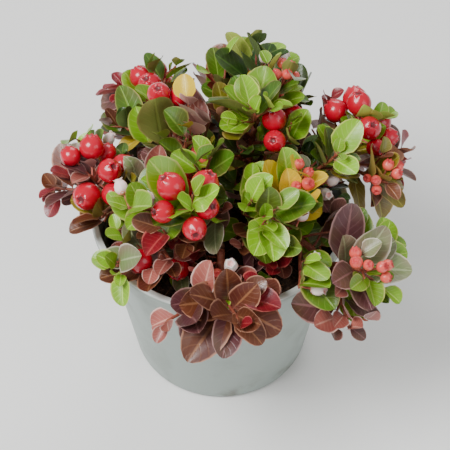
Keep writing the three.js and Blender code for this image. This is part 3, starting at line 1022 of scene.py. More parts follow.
def grow_low_shoots(targets):
    """Shoots from the woody stems to places over the soil, clear of all that has grown.

    Each starts at the nearest point of the wood and counts as part of that stem's mass.
    """
    gathered = gather_crown()
    random = seeded_random(LOW_SEED)
    wood = np.array([limb_curve(mass, WOOD_SHARES)[0] for mass in masses])
    for n, target in enumerate(targets):
        gaps = np.linalg.norm(wood - target, axis=2)
        number, step = np.unravel_index(np.argmin(gaps), gaps.shape)
        if gaps[number, step] < SHORTEST_LOW_SHOOT:
            continue
        way = unit(target - wood[number, step])
        start = wood[number, step] + way * OFF_THE_AXIS
        length = math.dist(start, target)
        shoot = add_shoot(gathered["mass"], gathered, start, way, length, n % TWIGS)
        leaves = leaf_out(gathered["mass"], gathered, shoot, LOW_LEAVES, random) if shoot else []
        if leaves:
            crown[number]["leaves"] += leaves
            crown[number]["twigs"].append(shoot)


grow_low_shoots(low_targets())
print_crown("in all:")

# %% [markdown]
# ## One leaf
# A wintergreen leaf is a stiff oval blade on a short stalk, folded up a little along
# its midrib, with a slightly wavy edge. Its outline is an oval, drawn in towards the
# stalk by a second curve. The leaf is modelled once, as a function of how far along and
# how far across a point lies, and then worked out for every leaf at once. A top sheet
# and an underside share one outline, so each leaf is a closed thin shell of 80 faces.
# An image on a flat card would be cheaper, but it breaks up close.

# %% The template of a leaf
OVAL_MIDDLE = 0.525
OVAL_HALF_LENGTH = 0.475
STALK_NARROWS_TO = 0.4
ROW_TURNS = np.radians(np.linspace(15, 165, 9))
ROWS = OVAL_MIDDLE - OVAL_HALF_LENGTH * np.cos(ROW_TURNS)
HALF_WIDTHS = np.sin(ROW_TURNS) * np.sin(math.pi / 2 * np.minimum(1, ROWS / STALK_NARROWS_TO))
ACROSS = np.array([1.0, 0.5, 0.0, -0.5, -1.0])
THICKNESS_ACROSS = np.array([0.0, 0.6, 1.0, 0.6, 0.0])
BANDS, WIDE, INSIDE = len(ROWS), len(ACROSS), len(ACROSS) - 2
TOP = 1 + np.arange(BANDS * WIDE).reshape(BANDS, WIDE)
TIP = 1 + BANDS * WIDE
UNDER = TIP + 1 + np.arange(BANDS * INSIDE).reshape(BANDS, INSIDE)


def for_each_point(top, under, tip=0.0):
    """A value for each point of a leaf: its base, its top sheet, its tip and its underside."""
    return np.concatenate([[0.0], top, [tip], under])


leaf_u = for_each_point(np.repeat(ROWS, WIDE), np.repeat(ROWS, INSIDE), tip=1.0)
leaf_v = for_each_point(np.tile(ACROSS, BANDS), np.tile(ACROSS[1:-1], BANDS))
leaf_half = for_each_point(np.repeat(HALF_WIDTHS, WIDE), np.repeat(HALF_WIDTHS, INSIDE))
leaf_side = for_each_point(np.tile(THICKNESS_ACROSS, BANDS), -np.tile(THICKNESS_ACROSS[1:-1], BANDS))


def grid_quads(grid):
    """The quads between neighbouring rows and columns of a grid of point numbers."""
    corners = [grid[:-1, :-1], grid[1:, :-1], grid[1:, 1:], grid[:-1, 1:]]
    return np.stack(corners, axis=-1).reshape(-1, 4)


under_grid = np.concatenate([TOP[:, -1:], UNDER[:, ::-1], TOP[:, :1]], axis=1)
leaf_quads = np.concatenate([grid_quads(TOP), np.roll(grid_quads(under_grid), -1, axis=1)])
leaf_tris = np.array(
    [[0, grid[0, k], grid[0, k + 1]] for grid in (TOP, under_grid) for k in range(WIDE - 1)]
    + [[TIP, grid[-1, k + 1], grid[-1, k]] for grid in (TOP, under_grid) for k in range(WIDE - 1)]
)
print("a leaf has", len(leaf_u), "points and", len(leaf_quads) + len(leaf_tris), "faces")

# %% Where a leaf's points go
EDGE_WAVES = 1.6
HALF_THICKNESS = 0.012
THIN_END = 0.35
RIB_GROOVE = 0.012


def leaf_mesh_points(leaves, draws):
    """Points of all leaves at once, (leaves, points, 3).

    Along the blade a point lies at its share of the length. Across, it lies at its share
    of the half width. Its lift is the fold times the distance from the midrib, plus a cup
    that grows with the square of it, plus a wave along the edge, less a droop that grows
    with the square of the share along. The top sheet lies half the thickness above that
    and the underside half below, and the midrib is a groove in the top sheet. The blade
    also twists a little from base to tip.
    """
    length = np.array([leaf["length"] for leaf in leaves])[:, None]
    width = np.array([leaf["width"] for leaf in leaves])[:, None]
    fold, cup, droop, wave, phase, twist = draws.T[:, :, None]
    half = leaf_half * width / 2
    body = np.sin(np.pi * leaf_u) ** 0.5
    ripple = np.sin(2 * np.pi * (EDGE_WAVES * leaf_u + phase))
    lift = fold * np.abs(leaf_v) * half + cup * leaf_v**2 * half
    lift = lift + wave * width * ripple * leaf_v * np.abs(leaf_v) * body
    lift = lift - droop * length * leaf_u**2
    lift = lift + HALF_THICKNESS * length * leaf_side * mix(THIN_END, 1, body)
    lift = lift - RIB_GROOVE * width * (leaf_v == 0) * (leaf_side > 0)
    out = leaf_v * half
    turn = twist * leaf_u
    across = out * np.cos(turn) - (lift + droop * length * leaf_u**2) * np.sin(turn)
    raised = out * np.sin(turn) + lift
    names = ("base", "blade", "across", "face")
    base, *axes = [np.array([leaf[name] for leaf in leaves])[:, None] for name in names]
    along = (leaf_u * length)[..., None]
    return base + axes[0] * along + axes[1] * across[..., None] + axes[2] * raised[..., None]


print("the edge of a leaf waves", EDGE_WAVES, "times")

# %% Press leaves off the fruit
all_balls = [ball for grown in crown for ball in grown["balls"]]
PRESS_FROM = 1.16
PRESS_TO = 1.22
NEAR_CENTRE = 0.01


def press_off(points):
    """Moves each point that lies inside a fruit or flower out along its radius to just off the skin."""
    for ball in all_balls:
        arms = points - ball["centre"]
        far = np.linalg.norm(arms, axis=-1) / ball["radius"]
        inside = far < PRESS_TO
        goal = mix(PRESS_FROM, PRESS_TO, far[inside] / PRESS_TO)
        grow = goal / np.maximum(far[inside], NEAR_CENTRE)
        points[inside] = ball["centre"] + arms[inside] * grow[:, None]
    return points


print("fruit and flowers that leaves bend round:", len(all_balls))

# %% One mesh for many leaves
UNDERSIDE_SHIFT = 2.0
SHARP_FROM = math.radians(70)
LEAF_FORMS = {
    "fold": (0.1, 0.42),
    "young cup": (0.0, 0.3),
    "cup": (-0.12, 0.16),
    "droop": (0.02, 0.16),
    "wave": (0.02, 0.06),
    "phase": (0, 1),
    "twist": (-0.35, 0.35),
}


def draw_forms(leaves, random):
    """Each leaf's own fold, cup, droop, wave, phase and twist, (leaves, 6). Young leaves cup up."""
    draws = {name: random.uniform(*span, len(leaves)) for name, span in LEAF_FORMS.items()}
    young = np.array([leaf["young"] for leaf in leaves])
    draws["cup"] = np.where(young, draws.pop("young cup"), draws["cup"])
    return np.stack(list(draws.values()), axis=1)


def leaf_uv(faces):
    """Each corner's place on the leaf: along it, and across it, with the underside moved up."""
    uv = np.stack([leaf_u[faces], 0.5 + leaf_v[faces] / 2], axis=-1)
    uv[(faces > TIP).any(axis=1), :, 1] += UNDERSIDE_SHIFT
    return uv.reshape(-1, 2)


def make_leaf_piece(name, leaves, seed):
    """One mesh for many leaves, with a map over each blade and a number that shades each leaf."""
    random = np.random.default_rng(seed)
    count = len(leaves)
    points = press_off(leaf_mesh_points(leaves, draw_forms(leaves, random)))
    piece = put_copies(name, points, [leaf_quads, leaf_tris])
    corners = [np.tile(leaf_uv(faces), (count, 1)) for faces in (leaf_quads, leaf_tris)]
    layer = piece.data.uv_layers.new(name="leaf_map")
    layer.data.foreach_set("uv", np.concatenate(corners).astype(np.float32).ravel())
    number_points(piece, "leaf_shade", np.repeat(random.uniform(0, 1, count), len(leaf_u)))
    piece.data.set_sharp_from_angle(angle=SHARP_FROM)
    return piece


print("each leaf draws its", ", ".join(LEAF_FORMS))

# %% [markdown]
# ## Shader groups
# Many finishes share an effect, such as fine grain or a leaf's veins. Each effect is a
# node group with named inputs and outputs, built once and placed in each material with
# its own values. A group only gives a colour, a roughness and a height; the shader
# itself stays in the material, where the export can read it.


# %% Helpers for nodes
def feed(tree, socket, value):
    """Links a socket to another one, or sets its value."""
    if isinstance(value, bpy.types.NodeSocket):
        tree.links.new(value, socket)
    else:
        socket.default_value = value


def put_node(tree, kind, inputs, **settings):
    """A node with its settings and with its inputs fed by name or by number."""
    node = tree.nodes.new(kind)
    for name, value in settings.items():
        setattr(node, name, value)
    for name, value in inputs.items():
        feed(tree, node.inputs[name], value)
    return node


def calc(tree, operation, first, second=0.0):
    """What a Math node works out from one or two values."""
    return put_node(tree, "ShaderNodeMath", {0: first, 1: second}, operation=operation).outputs[0]


def plus(tree, first, second):
    """The sum of two values."""
    return calc(tree, "ADD", first, second)


def minus(tree, first, second):
    """The first value less the second."""
    return calc(tree, "SUBTRACT", first, second)


def times(tree, first, second):
    """The product of two values."""
    return calc(tree, "MULTIPLY", first, second)


def blend_colours(tree, share, first, second):
    """A colour that lies a share of the way from the first to the second."""
    return put_node(tree, "ShaderNodeMix", {0: share, 6: first, 7: second}, data_type="RGBA").outputs[2]


def lay_over(tree, colour, mask, shows, coat):
    """A colour with a coat laid over it where the mask says, as strongly as it shows."""
    return blend_colours(tree, times(tree, mask, shows), colour, coat)


def scaled(tree, colour, factor):
    """A colour made lighter or darker by a factor."""
    inputs = {0: colour, "Scale": factor}
    return put_node(tree, "ShaderNodeVectorMath", inputs, operation="SCALE").outputs[0]


def ramp(tree, value, low, high, start=0.0, end=1.0):
    """A smooth step from start to end, as value goes from low to high."""
    inputs = {"Value": value, "From Min": low, "From Max": high, "To Min": start, "To Max": end}
    return put_node(tree, "ShaderNodeMapRange", inputs, interpolation_type="SMOOTHSTEP").outputs[0]


# %% Patterns for nodes
def object_place(tree):
    """The place of a point in the piece, in metres."""
    return put_node(tree, "ShaderNodeTexCoord", {}).outputs["Object"]


def own_number(tree, name):
    """The number that each point of a piece carries under a name."""
    return put_node(tree, "ShaderNodeAttribute", {}, attribute_name=name).outputs["Fac"]


def stretched(tree, place, scale):
    """The place, scaled by its own factor along each axis."""
    return put_node(tree, "ShaderNodeMapping", {"Vector": place, "Scale": scale}).outputs[0]


def noise(tree, place, scale, detail=3.0, rough=0.55):
    """Cloudy noise from 0 to 1, with that many features to a metre."""
    inputs = {"Vector": place, "Scale": scale, "Detail": detail, "Roughness": rough}
    return put_node(tree, "ShaderNodeTexNoise", inputs).outputs["Fac"]


def cell_distance(tree, place, scale):
    """How far a point is from the middle of its cell, with that many cells to a metre."""
    return put_node(tree, "ShaderNodeTexVoronoi", {"Vector": place, "Scale": scale}).outputs["Distance"]


SOCKETS = {float: "NodeSocketFloat", tuple: "NodeSocketColor"}
SKIN_OUTPUTS = {"Colour": tuple, "Roughness": float, "Height": float}


def new_skin(name, inputs):
    """A shader node group that gives a colour, a roughness and a height, and its two end nodes."""
    group = bpy.data.node_groups.new(name, "ShaderNodeTree")
    for label, value in inputs.items():
        socket = group.interface.new_socket(label, in_out="INPUT", socket_type=SOCKETS[type(value)])
        socket.default_value = value
    for label, kind in SKIN_OUTPUTS.items():
        group.interface.new_socket(label, in_out="OUTPUT", socket_type=SOCKETS[kind])
    return group, group.nodes.new("NodeGroupInput").outputs, group.nodes.new("NodeGroupOutput").inputs


def finish_skin(group, gives, *values):
    """Links the colour, roughness and height that were worked out to the group's output."""
    for label, value in zip(SKIN_OUTPUTS, values):
        feed(group, gives[label], value)
    print(group.name, "has", len(group.nodes), "nodes")


# %% [markdown]
# ### Leaf skin
# The face of a leaf shows a pale midrib, fine side veins, a thin pale edge and cloudy
# patches of a second colour, and its underside is paler. The pale edge is a painted
# highlight, where the thick margin catches the light. The group reads the leaf's
# own map for what follows the blade, and the place in the plant for the patches. Only
# the colours differ from one tint of leaf to the next.

# %% Build the leaf skin
leaf_skin, given, gives = new_skin(
    "leaf skin",
    {
        "Leaf": (0.1, 0.2, 0.05, 1.0),
        "Vein": (0.3, 0.4, 0.15, 1.0),
        "Edge": (0.5, 0.5, 0.3, 1.0),
        "Blush": (0.2, 0.1, 0.08, 1.0),
        "Stalk": (0.22, 0.06, 0.04, 1.0),
        "Blush Share": 0.4,
        "Dullness": 0.35,
    },
)
VEIN_REPEAT = 46.0
VEIN_SLANT = 12.0
leaf_map = put_node(leaf_skin, "ShaderNodeUVMap", {}, uv_map="leaf_map").outputs[0]
leaf_map = put_node(leaf_skin, "ShaderNodeSeparateXYZ", {0: leaf_map}).outputs
place = object_place(leaf_skin)
underside = calc(leaf_skin, "GREATER_THAN", leaf_map[1], 1.5)
across = minus(leaf_skin, leaf_map[1], times(leaf_skin, underside, UNDERSIDE_SHIFT))
from_rib = calc(leaf_skin, "ABSOLUTE", minus(leaf_skin, across, 0.5))
from_rib = times(leaf_skin, from_rib, 2.0)
rib = ramp(leaf_skin, from_rib, low=0.03, high=0.11, start=1.0, end=0.0)
# A painted highlight: the mask of a pale band along each blade's edge, where the margin catches the
# light.
edge = ramp(leaf_skin, from_rib, low=0.84, high=0.98)
slant = times(leaf_skin, leaf_map[0], VEIN_REPEAT)
slant = minus(leaf_skin, slant, times(leaf_skin, from_rib, VEIN_SLANT))
veins = ramp(leaf_skin, calc(leaf_skin, "SINE", slant), low=0.72, high=1.0)
veins = times(leaf_skin, veins, ramp(leaf_skin, from_rib, low=0.95, high=0.7))
cloud = noise(leaf_skin, place, scale=80.0, detail=2.0, rough=0.4)
speck = noise(leaf_skin, place, scale=1400.0, detail=2.0)
patch = ramp(leaf_skin, cloud, low=0.32, high=0.78)
patch = plus(leaf_skin, patch, times(leaf_skin, from_rib, 0.25))
patch = times(leaf_skin, calc(leaf_skin, "MINIMUM", patch, 1.0), given["Blush Share"])
skin = blend_colours(leaf_skin, patch, given["Leaf"], given["Blush"])
skin = lay_over(leaf_skin, skin, veins, 0.16, given["Vein"])
skin = lay_over(leaf_skin, skin, rib, 0.6, given["Vein"])
# The edge colour paints that highlight along the edge, and also the paler underside.
skin = lay_over(leaf_skin, skin, edge, 0.7, given["Edge"])
skin = lay_over(leaf_skin, skin, underside, 0.45, given["Edge"])
skin = blend_colours(leaf_skin, ramp(leaf_skin, leaf_map[0], low=0.2, high=0.05), skin, given["Stalk"])
shade = own_number(leaf_skin, "leaf_shade")
skin = scaled(leaf_skin, skin, plus(leaf_skin, times(leaf_skin, shade, 0.5), 0.75))
dull = times(leaf_skin, cloud, 0.2)
dull = plus(leaf_skin, dull, times(leaf_skin, underside, 0.25))
dull = plus(leaf_skin, dull, given["Dullness"])
sunk = times(leaf_skin, rib, 0.8)
sunk = plus(leaf_skin, sunk, times(leaf_skin, veins, 0.3))
relief = minus(leaf_skin, times(leaf_skin, speck, 0.25), sunk)
finish_skin(leaf_skin, gives, skin, dull, relief)


# %% Put a group under a shader
def make_material(name, group, values, bump, **shader):
    """A material: a group gives colour, roughness and height, and the shader's own sockets the rest.

    The bump is how strongly the height shows and how deep it goes, in mm. The first of the
    group's values is the material's colour in a plain view.
    """
    material = bpy.data.materials.new(name)
    material.use_nodes = True
    tree = material.node_tree
    surface = tree.nodes["Principled BSDF"]
    effect = tree.nodes.new("ShaderNodeGroup")
    effect.node_tree = group
    for label, value in values.items():
        effect.inputs[label].default_value = value
    tree.links.new(effect.outputs["Colour"], surface.inputs["Base Color"])
    tree.links.new(effect.outputs["Roughness"], surface.inputs["Roughness"])
    strength, depth = bump
    inputs = {"Height": effect.outputs["Height"], "Strength": strength, "Distance": depth * MM}
    relief = put_node(tree, "ShaderNodeBump", inputs)
    tree.links.new(relief.outputs[0], surface.inputs["Normal"])
    for label, value in shader.items():
        surface.inputs[label.replace("_", " ")].default_value = value
    material.diffuse_color = next(iter(values.values()))
    print("material:", name)
    return material


# %% [markdown]
# ## Tints of the leaves
# In the cool season a wintergreen's leaves turn from lime and green through bronze to
# plum and crimson, one shoot at a time. So each spray has a tint of its own, and a few
# of its leaves take the neighbouring tint. A tint is one material and one piece. The
# tints are plain named colours; nothing is painted from an image.

# %% Name the tints
# A tint has a name, the colours of its leaf, its veins, its edge (a painted highlight,
# which also pales the underside) and its blush as seen on a screen, how much of it is
# blushed, and how dull it is.
TINTS = {
    "l": ("lime", (124, 172, 22), (190, 218, 104), (196, 196, 104), (96, 124, 20), 0.55, 0.26),
    "g": ("green", (72, 116, 22), (136, 166, 66), (166, 156, 88), (84, 70, 26), 0.6, 0.24),
    "d": ("deep_green", (38, 76, 22), (92, 132, 54), (112, 132, 72), (62, 50, 26), 0.5, 0.2),
    "s": ("sage", (116, 136, 84), (182, 192, 146), (214, 204, 184), (134, 98, 92), 0.7, 0.3),
    "o": ("olive", (120, 118, 26), (176, 172, 74), (196, 164, 92), (116, 66, 24), 0.6, 0.24),
    "b": ("bronze", (106, 60, 36), (168, 116, 78), (204, 150, 120), (84, 34, 30), 0.75, 0.24),
    "p": ("plum", (90, 46, 54), (152, 106, 104), (200, 154, 148), (98, 74, 52), 0.7, 0.26),
    "c": ("crimson", (136, 20, 34), (188, 76, 72), (212, 112, 102), (78, 14, 24), 0.6, 0.22),
    "r": ("rose", (164, 92, 80), (214, 158, 140), (234, 204, 190), (118, 50, 46), 0.6, 0.28),
    "y": ("yellow", (208, 178, 24), (226, 204, 84), (214, 184, 64), (176, 142, 30), 0.5, 0.28),
}
# Some leaves take another tint, found by place: the first row has all tints, and the
# next two have what a full-grown leaf and a young one turn to.
TINT_ROW = "lgdsobpcry"
NEXT_TINT = dict(zip(TINT_ROW, "glgpbpbrsl"))
YOUNG_TINT = dict(zip(TINT_ROW, "llglbcrryy"))
# The tint of each spray of a mass, in the order of its twigs.
SPRAY_TINTS = {
    "outer_1": "gldobsbpd",
    "outer_2": "dgolbdpog",
    "outer_3": "bgdobrlpd",
    "outer_4": "pslogbspg",
    "outer_5": "pbscpbrps",
    "outer_6": "bpprbpblp",
    "outer_7": "spglbpsrg",
    "middle_1": "lgogydgbo",
    "middle_2": "rlgblogsl",
    "middle_3": "lglspbpcb",
    "middle_4": "lylgspglb",
}
print("tints:", [TINTS[tint][0] for tint in TINT_ROW])

# %% Deal the tints out
DEAL_SEED = 11
YOUNG_TURN = 0.6
KEEP_TINT = 0.74


def deal_tints():
    """The leaves of each tint. A spray keeps its tint in about three full-grown leaves of four."""
    random = np.random.default_rng(DEAL_SEED)
    dealt = {tint: [] for tint in TINTS}
    for grown in crown:
        sprays = SPRAY_TINTS[grown["mass"]["name"]]
        for leaf in grown["leaves"]:
            tint = sprays[leaf["twig"]["spray"]]
            chance = random.random()
            if leaf["young"]:
                tint = YOUNG_TINT[tint] if chance < YOUNG_TURN else tint
            elif chance > KEEP_TINT:
                tint = NEXT_TINT[tint]
            dealt[tint].append(leaf)
    return dealt


dealt = deal_tints()
print("leaves of each tint:", {TINTS[tint][0]: len(leaves) for tint, leaves in dealt.items()})

# %% Make the leaf pieces
LEAF_SEED = 40
foliage_nodes = [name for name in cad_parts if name.startswith("foliage_")]
for number, (tint, leaves) in enumerate(dealt.items()):
    name, *colours, blush_share, dullness = TINTS[tint]
    values = dict(zip(("Leaf", "Vein", "Edge", "Blush"), [srgb(*colour) for colour in colours]))
    material = make_material(
        f"{name} leaf skin",
        leaf_skin,
        {**values, "Blush Share": blush_share, "Dullness": dullness},
        bump=(0.5, 0.35),
        Coat_Weight=0.25,
        Coat_Roughness=0.28,
        Specular_IOR_Level=0.5,
    )
    piece = make_leaf_piece(f"leaves_{name}", leaves, LEAF_SEED + number)
    dress(piece, material, "foliage", *foliage_nodes)

# %% [markdown]
# ## Twigs, stems and stalks
# Young wintergreen wood is thin, red-brown and a little crooked, swollen where leaves
# sit, and a twig ends in a pointed bud. All of them are tubes: a ring of points is
# carried along a path and its radius follows a profile. Working out every tube of a
# kind in one array keeps this fast.


# %% Many tubes at once
def turns_round(sides):
    """The angles of evenly spaced points round an axis."""
    return math.tau * np.arange(sides) / sides


def tube_points(paths, radii, sides, ridges=None):
    """Rings of points round paths (tubes, steps, 3), at radii (tubes, steps), plus the two ends.

    Each ring lies across the path's heading. A point of the ring lies at the radius, times
    one plus its ridge, along the side direction turned by its angle about the heading.
    """
    headings = np.gradient(paths, axis=1)
    headings /= np.linalg.norm(headings, axis=2)[..., None]
    guide = np.where(np.abs(headings[:, :1, 2:]) < STEEP, UP, EAST)
    side = np.cross(np.broadcast_to(guide, headings.shape), headings)
    side /= np.linalg.norm(side, axis=2)[..., None]
    front = np.cross(headings, side)
    angles = turns_round(sides)[:, None]
    size = radii[..., None] * (1 if ridges is None else 1 + ridges)
    ring = side[:, :, None] * np.cos(angles) + front[:, :, None] * np.sin(angles)
    rings = paths[:, :, None] + ring * size[..., None]
    return np.concatenate([rings.reshape(len(paths), -1, 3), paths[:, :1], paths[:, -1:]], axis=1)


def tube_faces(steps, sides):
    """The quads along a tube and the fans that close its two ends, for one template."""
    grid = np.arange(steps * sides).reshape(steps, sides)
    ring = np.concatenate([grid, grid[:, :1]], axis=1)
    quads = grid_quads(ring)[:, ::-1]
    first, last = steps * sides, steps * sides + 1
    start = np.stack([np.full(sides, first), ring[0, 1:], ring[0, :-1]], axis=1)
    end = np.stack([np.full(sides, last), ring[-1, :-1], ring[-1, 1:]], axis=1)
    return quads, np.concatenate([start, end])


def make_tubes(name, paths, radii, sides, ridges=None):
    """One mesh of tubes, one for each path."""
    points = tube_points(paths, radii, sides, ridges)
    return put_copies(name, points, tube_faces(paths.shape[1], sides))


print("a shoot of 8 steps and 6 sides has", sum(len(faces) for faces in tube_faces(8, 6)), "faces")

# %% [markdown]
# ### Bark
# Close up, the bark of the stems peels in fine strips along the wood, over red-brown
# young bark, with paler dots. The pattern is noise stretched along the height. The
# twigs and stalks take the same group with redder and paler values.

# %% Build the bark skin
bark_skin, given, gives = new_skin(
    "bark skin",
    {"Bark": (0.2, 0.08, 0.05, 1.0), "Strips": (0.35, 0.2, 0.13, 1.0), "Dull": 0.6, "Strip Share": 0.5},
)
place = object_place(bark_skin)
along_wood = stretched(bark_skin, place, (1.0, 1.0, 0.22))
strips = noise(bark_skin, along_wood, scale=900.0, detail=4.0, rough=0.6)
dots = ramp(bark_skin, cell_distance(bark_skin, place, scale=620.0), low=0.22, high=0.1)
strip_mask = times(bark_skin, ramp(bark_skin, strips, low=0.42, high=0.66), given["Strip Share"])
colour = blend_colours(bark_skin, strip_mask, given["Bark"], given["Strips"])
colour = lay_over(bark_skin, colour, dots, 0.35, given["Strips"])
dull = plus(bark_skin, given["Dull"], times(bark_skin, strips, 0.2))
relief = plus(bark_skin, strips, times(bark_skin, dots, 0.3))
finish_skin(bark_skin, gives, colour, dull, relief)


# %% Name the finishes of the wood
def bark_finish(name, bark, strips, dull, strip_share, bump, **shader):
    """A material of the bark group, with its two colours as seen on a screen."""
    values = {"Bark": srgb(*bark), "Strips": srgb(*strips), "Dull": dull, "Strip Share": strip_share}
    return make_material(name, bark_skin, values, bump, **shader)


stem_bark = bark_finish(
    "stem bark",
    bark=(92, 58, 42),
    strips=(150, 112, 84),
    dull=0.6,
    strip_share=0.8,
    bump=(0.9, 0.35),
    Specular_IOR_Level=0.3,
)
twig_bark = bark_finish(
    "red twig bark",
    bark=(128, 62, 46),
    strips=(166, 104, 74),
    dull=0.42,
    strip_share=0.5,
    bump=(0.5, 0.15),
    Specular_IOR_Level=0.4,
)
stalk_skin = bark_finish(
    "pink stalk skin",
    bark=(196, 92, 84),
    strips=(214, 150, 122),
    dull=0.32,
    strip_share=0.4,
    bump=(0.3, 0.1),
    Specular_IOR_Level=0.5,
)

# %% [markdown]
# ### Stems with relief
# Each woody stem keeps the line, taper and root flare of the model. The relief is in
# the mesh: five shallow ribs that wind up the stem and deepen towards the flare, and
# knots at uneven heights, so the light catches it from any side.

# %% Make the stems
STEM_ROWS = 48
STEM_SIDES = 16
BARK_INSET = 0.97
RIBS = {"count": 5, "wind": 7, "depth": 0.05, "flare": 0.12, "fades": 4}
FINE_RIBS = {"count": 11, "wind": 23, "depth": 0.03}
KNOTS = {"at": (0.31, 0.52, 0.7, 0.86), "shift": 0.05, "depth": 0.13, "length": 0.018}
# How fast the shift of a knot, and the side that it stands on, change along a stem.
KNOT_WAVES = {"shift": 9, "side": 5}


def stem_relief(s, angles, number):
    """How much the surface stands out, as a share of the radius.

    It is the sum of three parts: ribs that wind up the stem and deepen towards its foot,
    finer ribs that wind the other way, and a bump at each knot, higher on one side.
    """
    s = s[:, None]
    deep = RIBS["depth"] + RIBS["flare"] * np.clip(1 - RIBS["fades"] * s, 0, 1)
    ribs = np.sin(RIBS["count"] * angles + RIBS["wind"] * s + number) * deep
    turned = FINE_RIBS["count"] * angles - FINE_RIBS["wind"] * s + 2 * number
    fine = FINE_RIBS["depth"] * np.sin(turned)
    knots = np.zeros_like(ribs)
    for at in KNOTS["at"]:
        shift = KNOTS["shift"] * math.sin(KNOT_WAVES["shift"] * at + number)
        along = np.exp(-(((s - at - shift) / KNOTS["length"]) ** 2))
        side = (1 + np.cos(angles - KNOT_WAVES["side"] * at - number)) / 2
        knots += KNOTS["depth"] * along * side
    return ribs + fine + knots


s = np.linspace(0, 1, STEM_ROWS)
stem_paths = np.array([limb_curve(mass, s)[0] for mass in masses])
stem_radii = np.tile(limb_radius(s) * BARK_INSET, (len(masses), 1))
ridges = np.array([stem_relief(s, turns_round(STEM_SIDES), number) for number in range(len(masses))])
stems = make_tubes("stems", stem_paths, stem_radii, STEM_SIDES, ridges)
dress(stems, stem_bark, "bark", *[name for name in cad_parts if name.startswith("stem_")])

# %% Make the twigs
TWIG_SWAY = 0.02
PAST_LAST_LEAF = 0.04
SWELLING = 0.12
BUD = (1.0, 1.25, 0.25)
TWIG_SIDES = 6


def twig_paths(twigs, steps, seed):
    """Paths from each twig's start to its end, with a small sideways sway that is nil at both ends."""
    random = np.random.default_rng(seed)
    s = np.linspace(0, 1, steps)[None, :, None]
    starts = np.array([twig["start"] for twig in twigs])[:, None]
    runs = np.array([twig["direction"] * twig["length"] for twig in twigs])[:, None]
    sway = random.uniform(-TWIG_SWAY, TWIG_SWAY, (len(twigs), 1, 3))
    sway = sway * np.linalg.norm(runs, axis=2)[..., None]
    return starts + runs * s + sway * np.sin(2 * np.pi * s)


def worn_ends_off(twigs):
    """The twigs, each ended just past its last leaf or fruit, so that no bare end stands out."""
    shares = [min(1, twig["used"] + PAST_LAST_LEAF) for twig in twigs]
    return [{**twig, "length": twig["length"] * share} for twig, share in zip(twigs, shares)]


def twig_radii(twigs, steps, foot, tip):
    """An even taper with a swelling at every third step, then a pointed bud at the end."""
    s = np.linspace(0, 1, steps)
    even = mix(foot, tip, s) * (1 + SWELLING * (np.arange(steps) % 3 == 1))
    even[-len(BUD) :] = tip * np.array(BUD)
    return np.tile(even, (len(twigs), 1))


all_twigs = [twig for grown in crown for twig in grown["twigs"]]
first_twigs = [twig for twig in all_twigs if twig["rank"] == 1]
shoots = [twig for twig in all_twigs if twig["rank"] == 2]
mass_stems = [grown["stem"] for grown in crown]
# Each row has the steps along a twig, its radius at the foot and at the tip, and a seed.
for name, twigs, steps, foot, tip, seed in (
    ("twigs", worn_ends_off(first_twigs), 14, 0.95, 0.7, 61),
    ("side_shoots", worn_ends_off(shoots), 8, *SHOOT_RADII, 62),
    ("mass_stems", mass_stems, 12, 1.75, 1.3, 63),
):
    radii = twig_radii(twigs, steps, foot, tip)
    piece = make_tubes(name, twig_paths(twigs, steps, seed), radii, TWIG_SIDES)
    dress(piece, twig_bark, "bark", *foliage_nodes)

# %% Make the stalks of fruit and flowers
STALK_STEPS = 6
STALK_SIDES = 5
STALK_SEED = 64
STALK_RADII = (0.4, 0.55)
INTO_FRUIT = 0.8
stalks = [
    {
        "start": ball["start"],
        "direction": ball["way"],
        "length": math.dist(ball["start"], ball["centre"]) - INTO_FRUIT * ball["radius"],
    }
    for ball in all_balls
]
radii = np.tile(np.linspace(*STALK_RADII, STALK_STEPS), (len(stalks), 1))
piece = make_tubes("stalks", twig_paths(stalks, STALK_STEPS, STALK_SEED), radii, STALK_SIDES)
dress(piece, stalk_skin, "foliage", *foliage_nodes)

# %% [markdown]
# ## Berries, young fruit and flowers
# A wintergreen berry is the swollen calyx: a glossy ball with a five-pointed star
# round a small pit at its far end. Young fruit is the same form, small and coral, and
# the flower is a hanging urn with five tiny lobes. All are turned forms, a profile
# carried round an axis, where the rows near the end also wave five times.

# %% Many turned forms at once
POINTS_OF_STAR = 5


def turned_points(balls, profile, sides, spin):
    """Points of turned forms, (balls, points, 3).

    Each row of the profile has how far along it lies, how much that waves, how far out it
    lies and how much that waves, all as shares of the ball's radius. A wave is a cosine
    with five tops round the axis. The first and the last row are the poles.
    """
    along, along_wave, out, out_wave = np.array(profile).T
    angles = turns_round(sides)
    waves = np.cos(POINTS_OF_STAR * angles)
    rise = along[1:-1, None] + along_wave[1:-1, None] * waves
    wide = out[1:-1, None] + out_wave[1:-1, None] * waves
    ways = np.array([ball["way"] for ball in balls])
    side = np.cross(np.where(np.abs(ways[:, 2:]) < STEEP, UP, EAST), ways)
    side /= np.linalg.norm(side, axis=1)[:, None]
    front = np.cross(ways, side)
    turn = angles[None] + spin[:, None]
    ring = side[:, None] * np.cos(turn)[..., None] + front[:, None] * np.sin(turn)[..., None]
    rows = ways[:, None, None] * rise[None, ..., None] + ring[:, None] * wide[None, ..., None]
    poles = ways[:, None] * along[[0, -1]][None, :, None]
    local = np.concatenate([rows.reshape(len(balls), -1, 3), poles], axis=1)
    radius = np.array([ball["radius"] for ball in balls])[:, None, None]
    return np.array([ball["centre"] for ball in balls])[:, None] + local * radius


def make_turned(name, balls, profile, sides, seed):
    """One mesh of turned forms, each spun by its own angle, with a share from foot to end."""
    spin = np.random.default_rng(seed).uniform(0, math.tau, len(balls))
    rows = len(profile) - 2
    piece = put_copies(name, turned_points(balls, profile, sides, spin), tube_faces(rows, sides))
    share = np.concatenate([np.repeat(np.linspace(0, 1, rows + 2)[1:-1], sides), [0.0, 1.0]])
    number_points(piece, "from_foot", np.tile(share, len(balls)))
    return piece


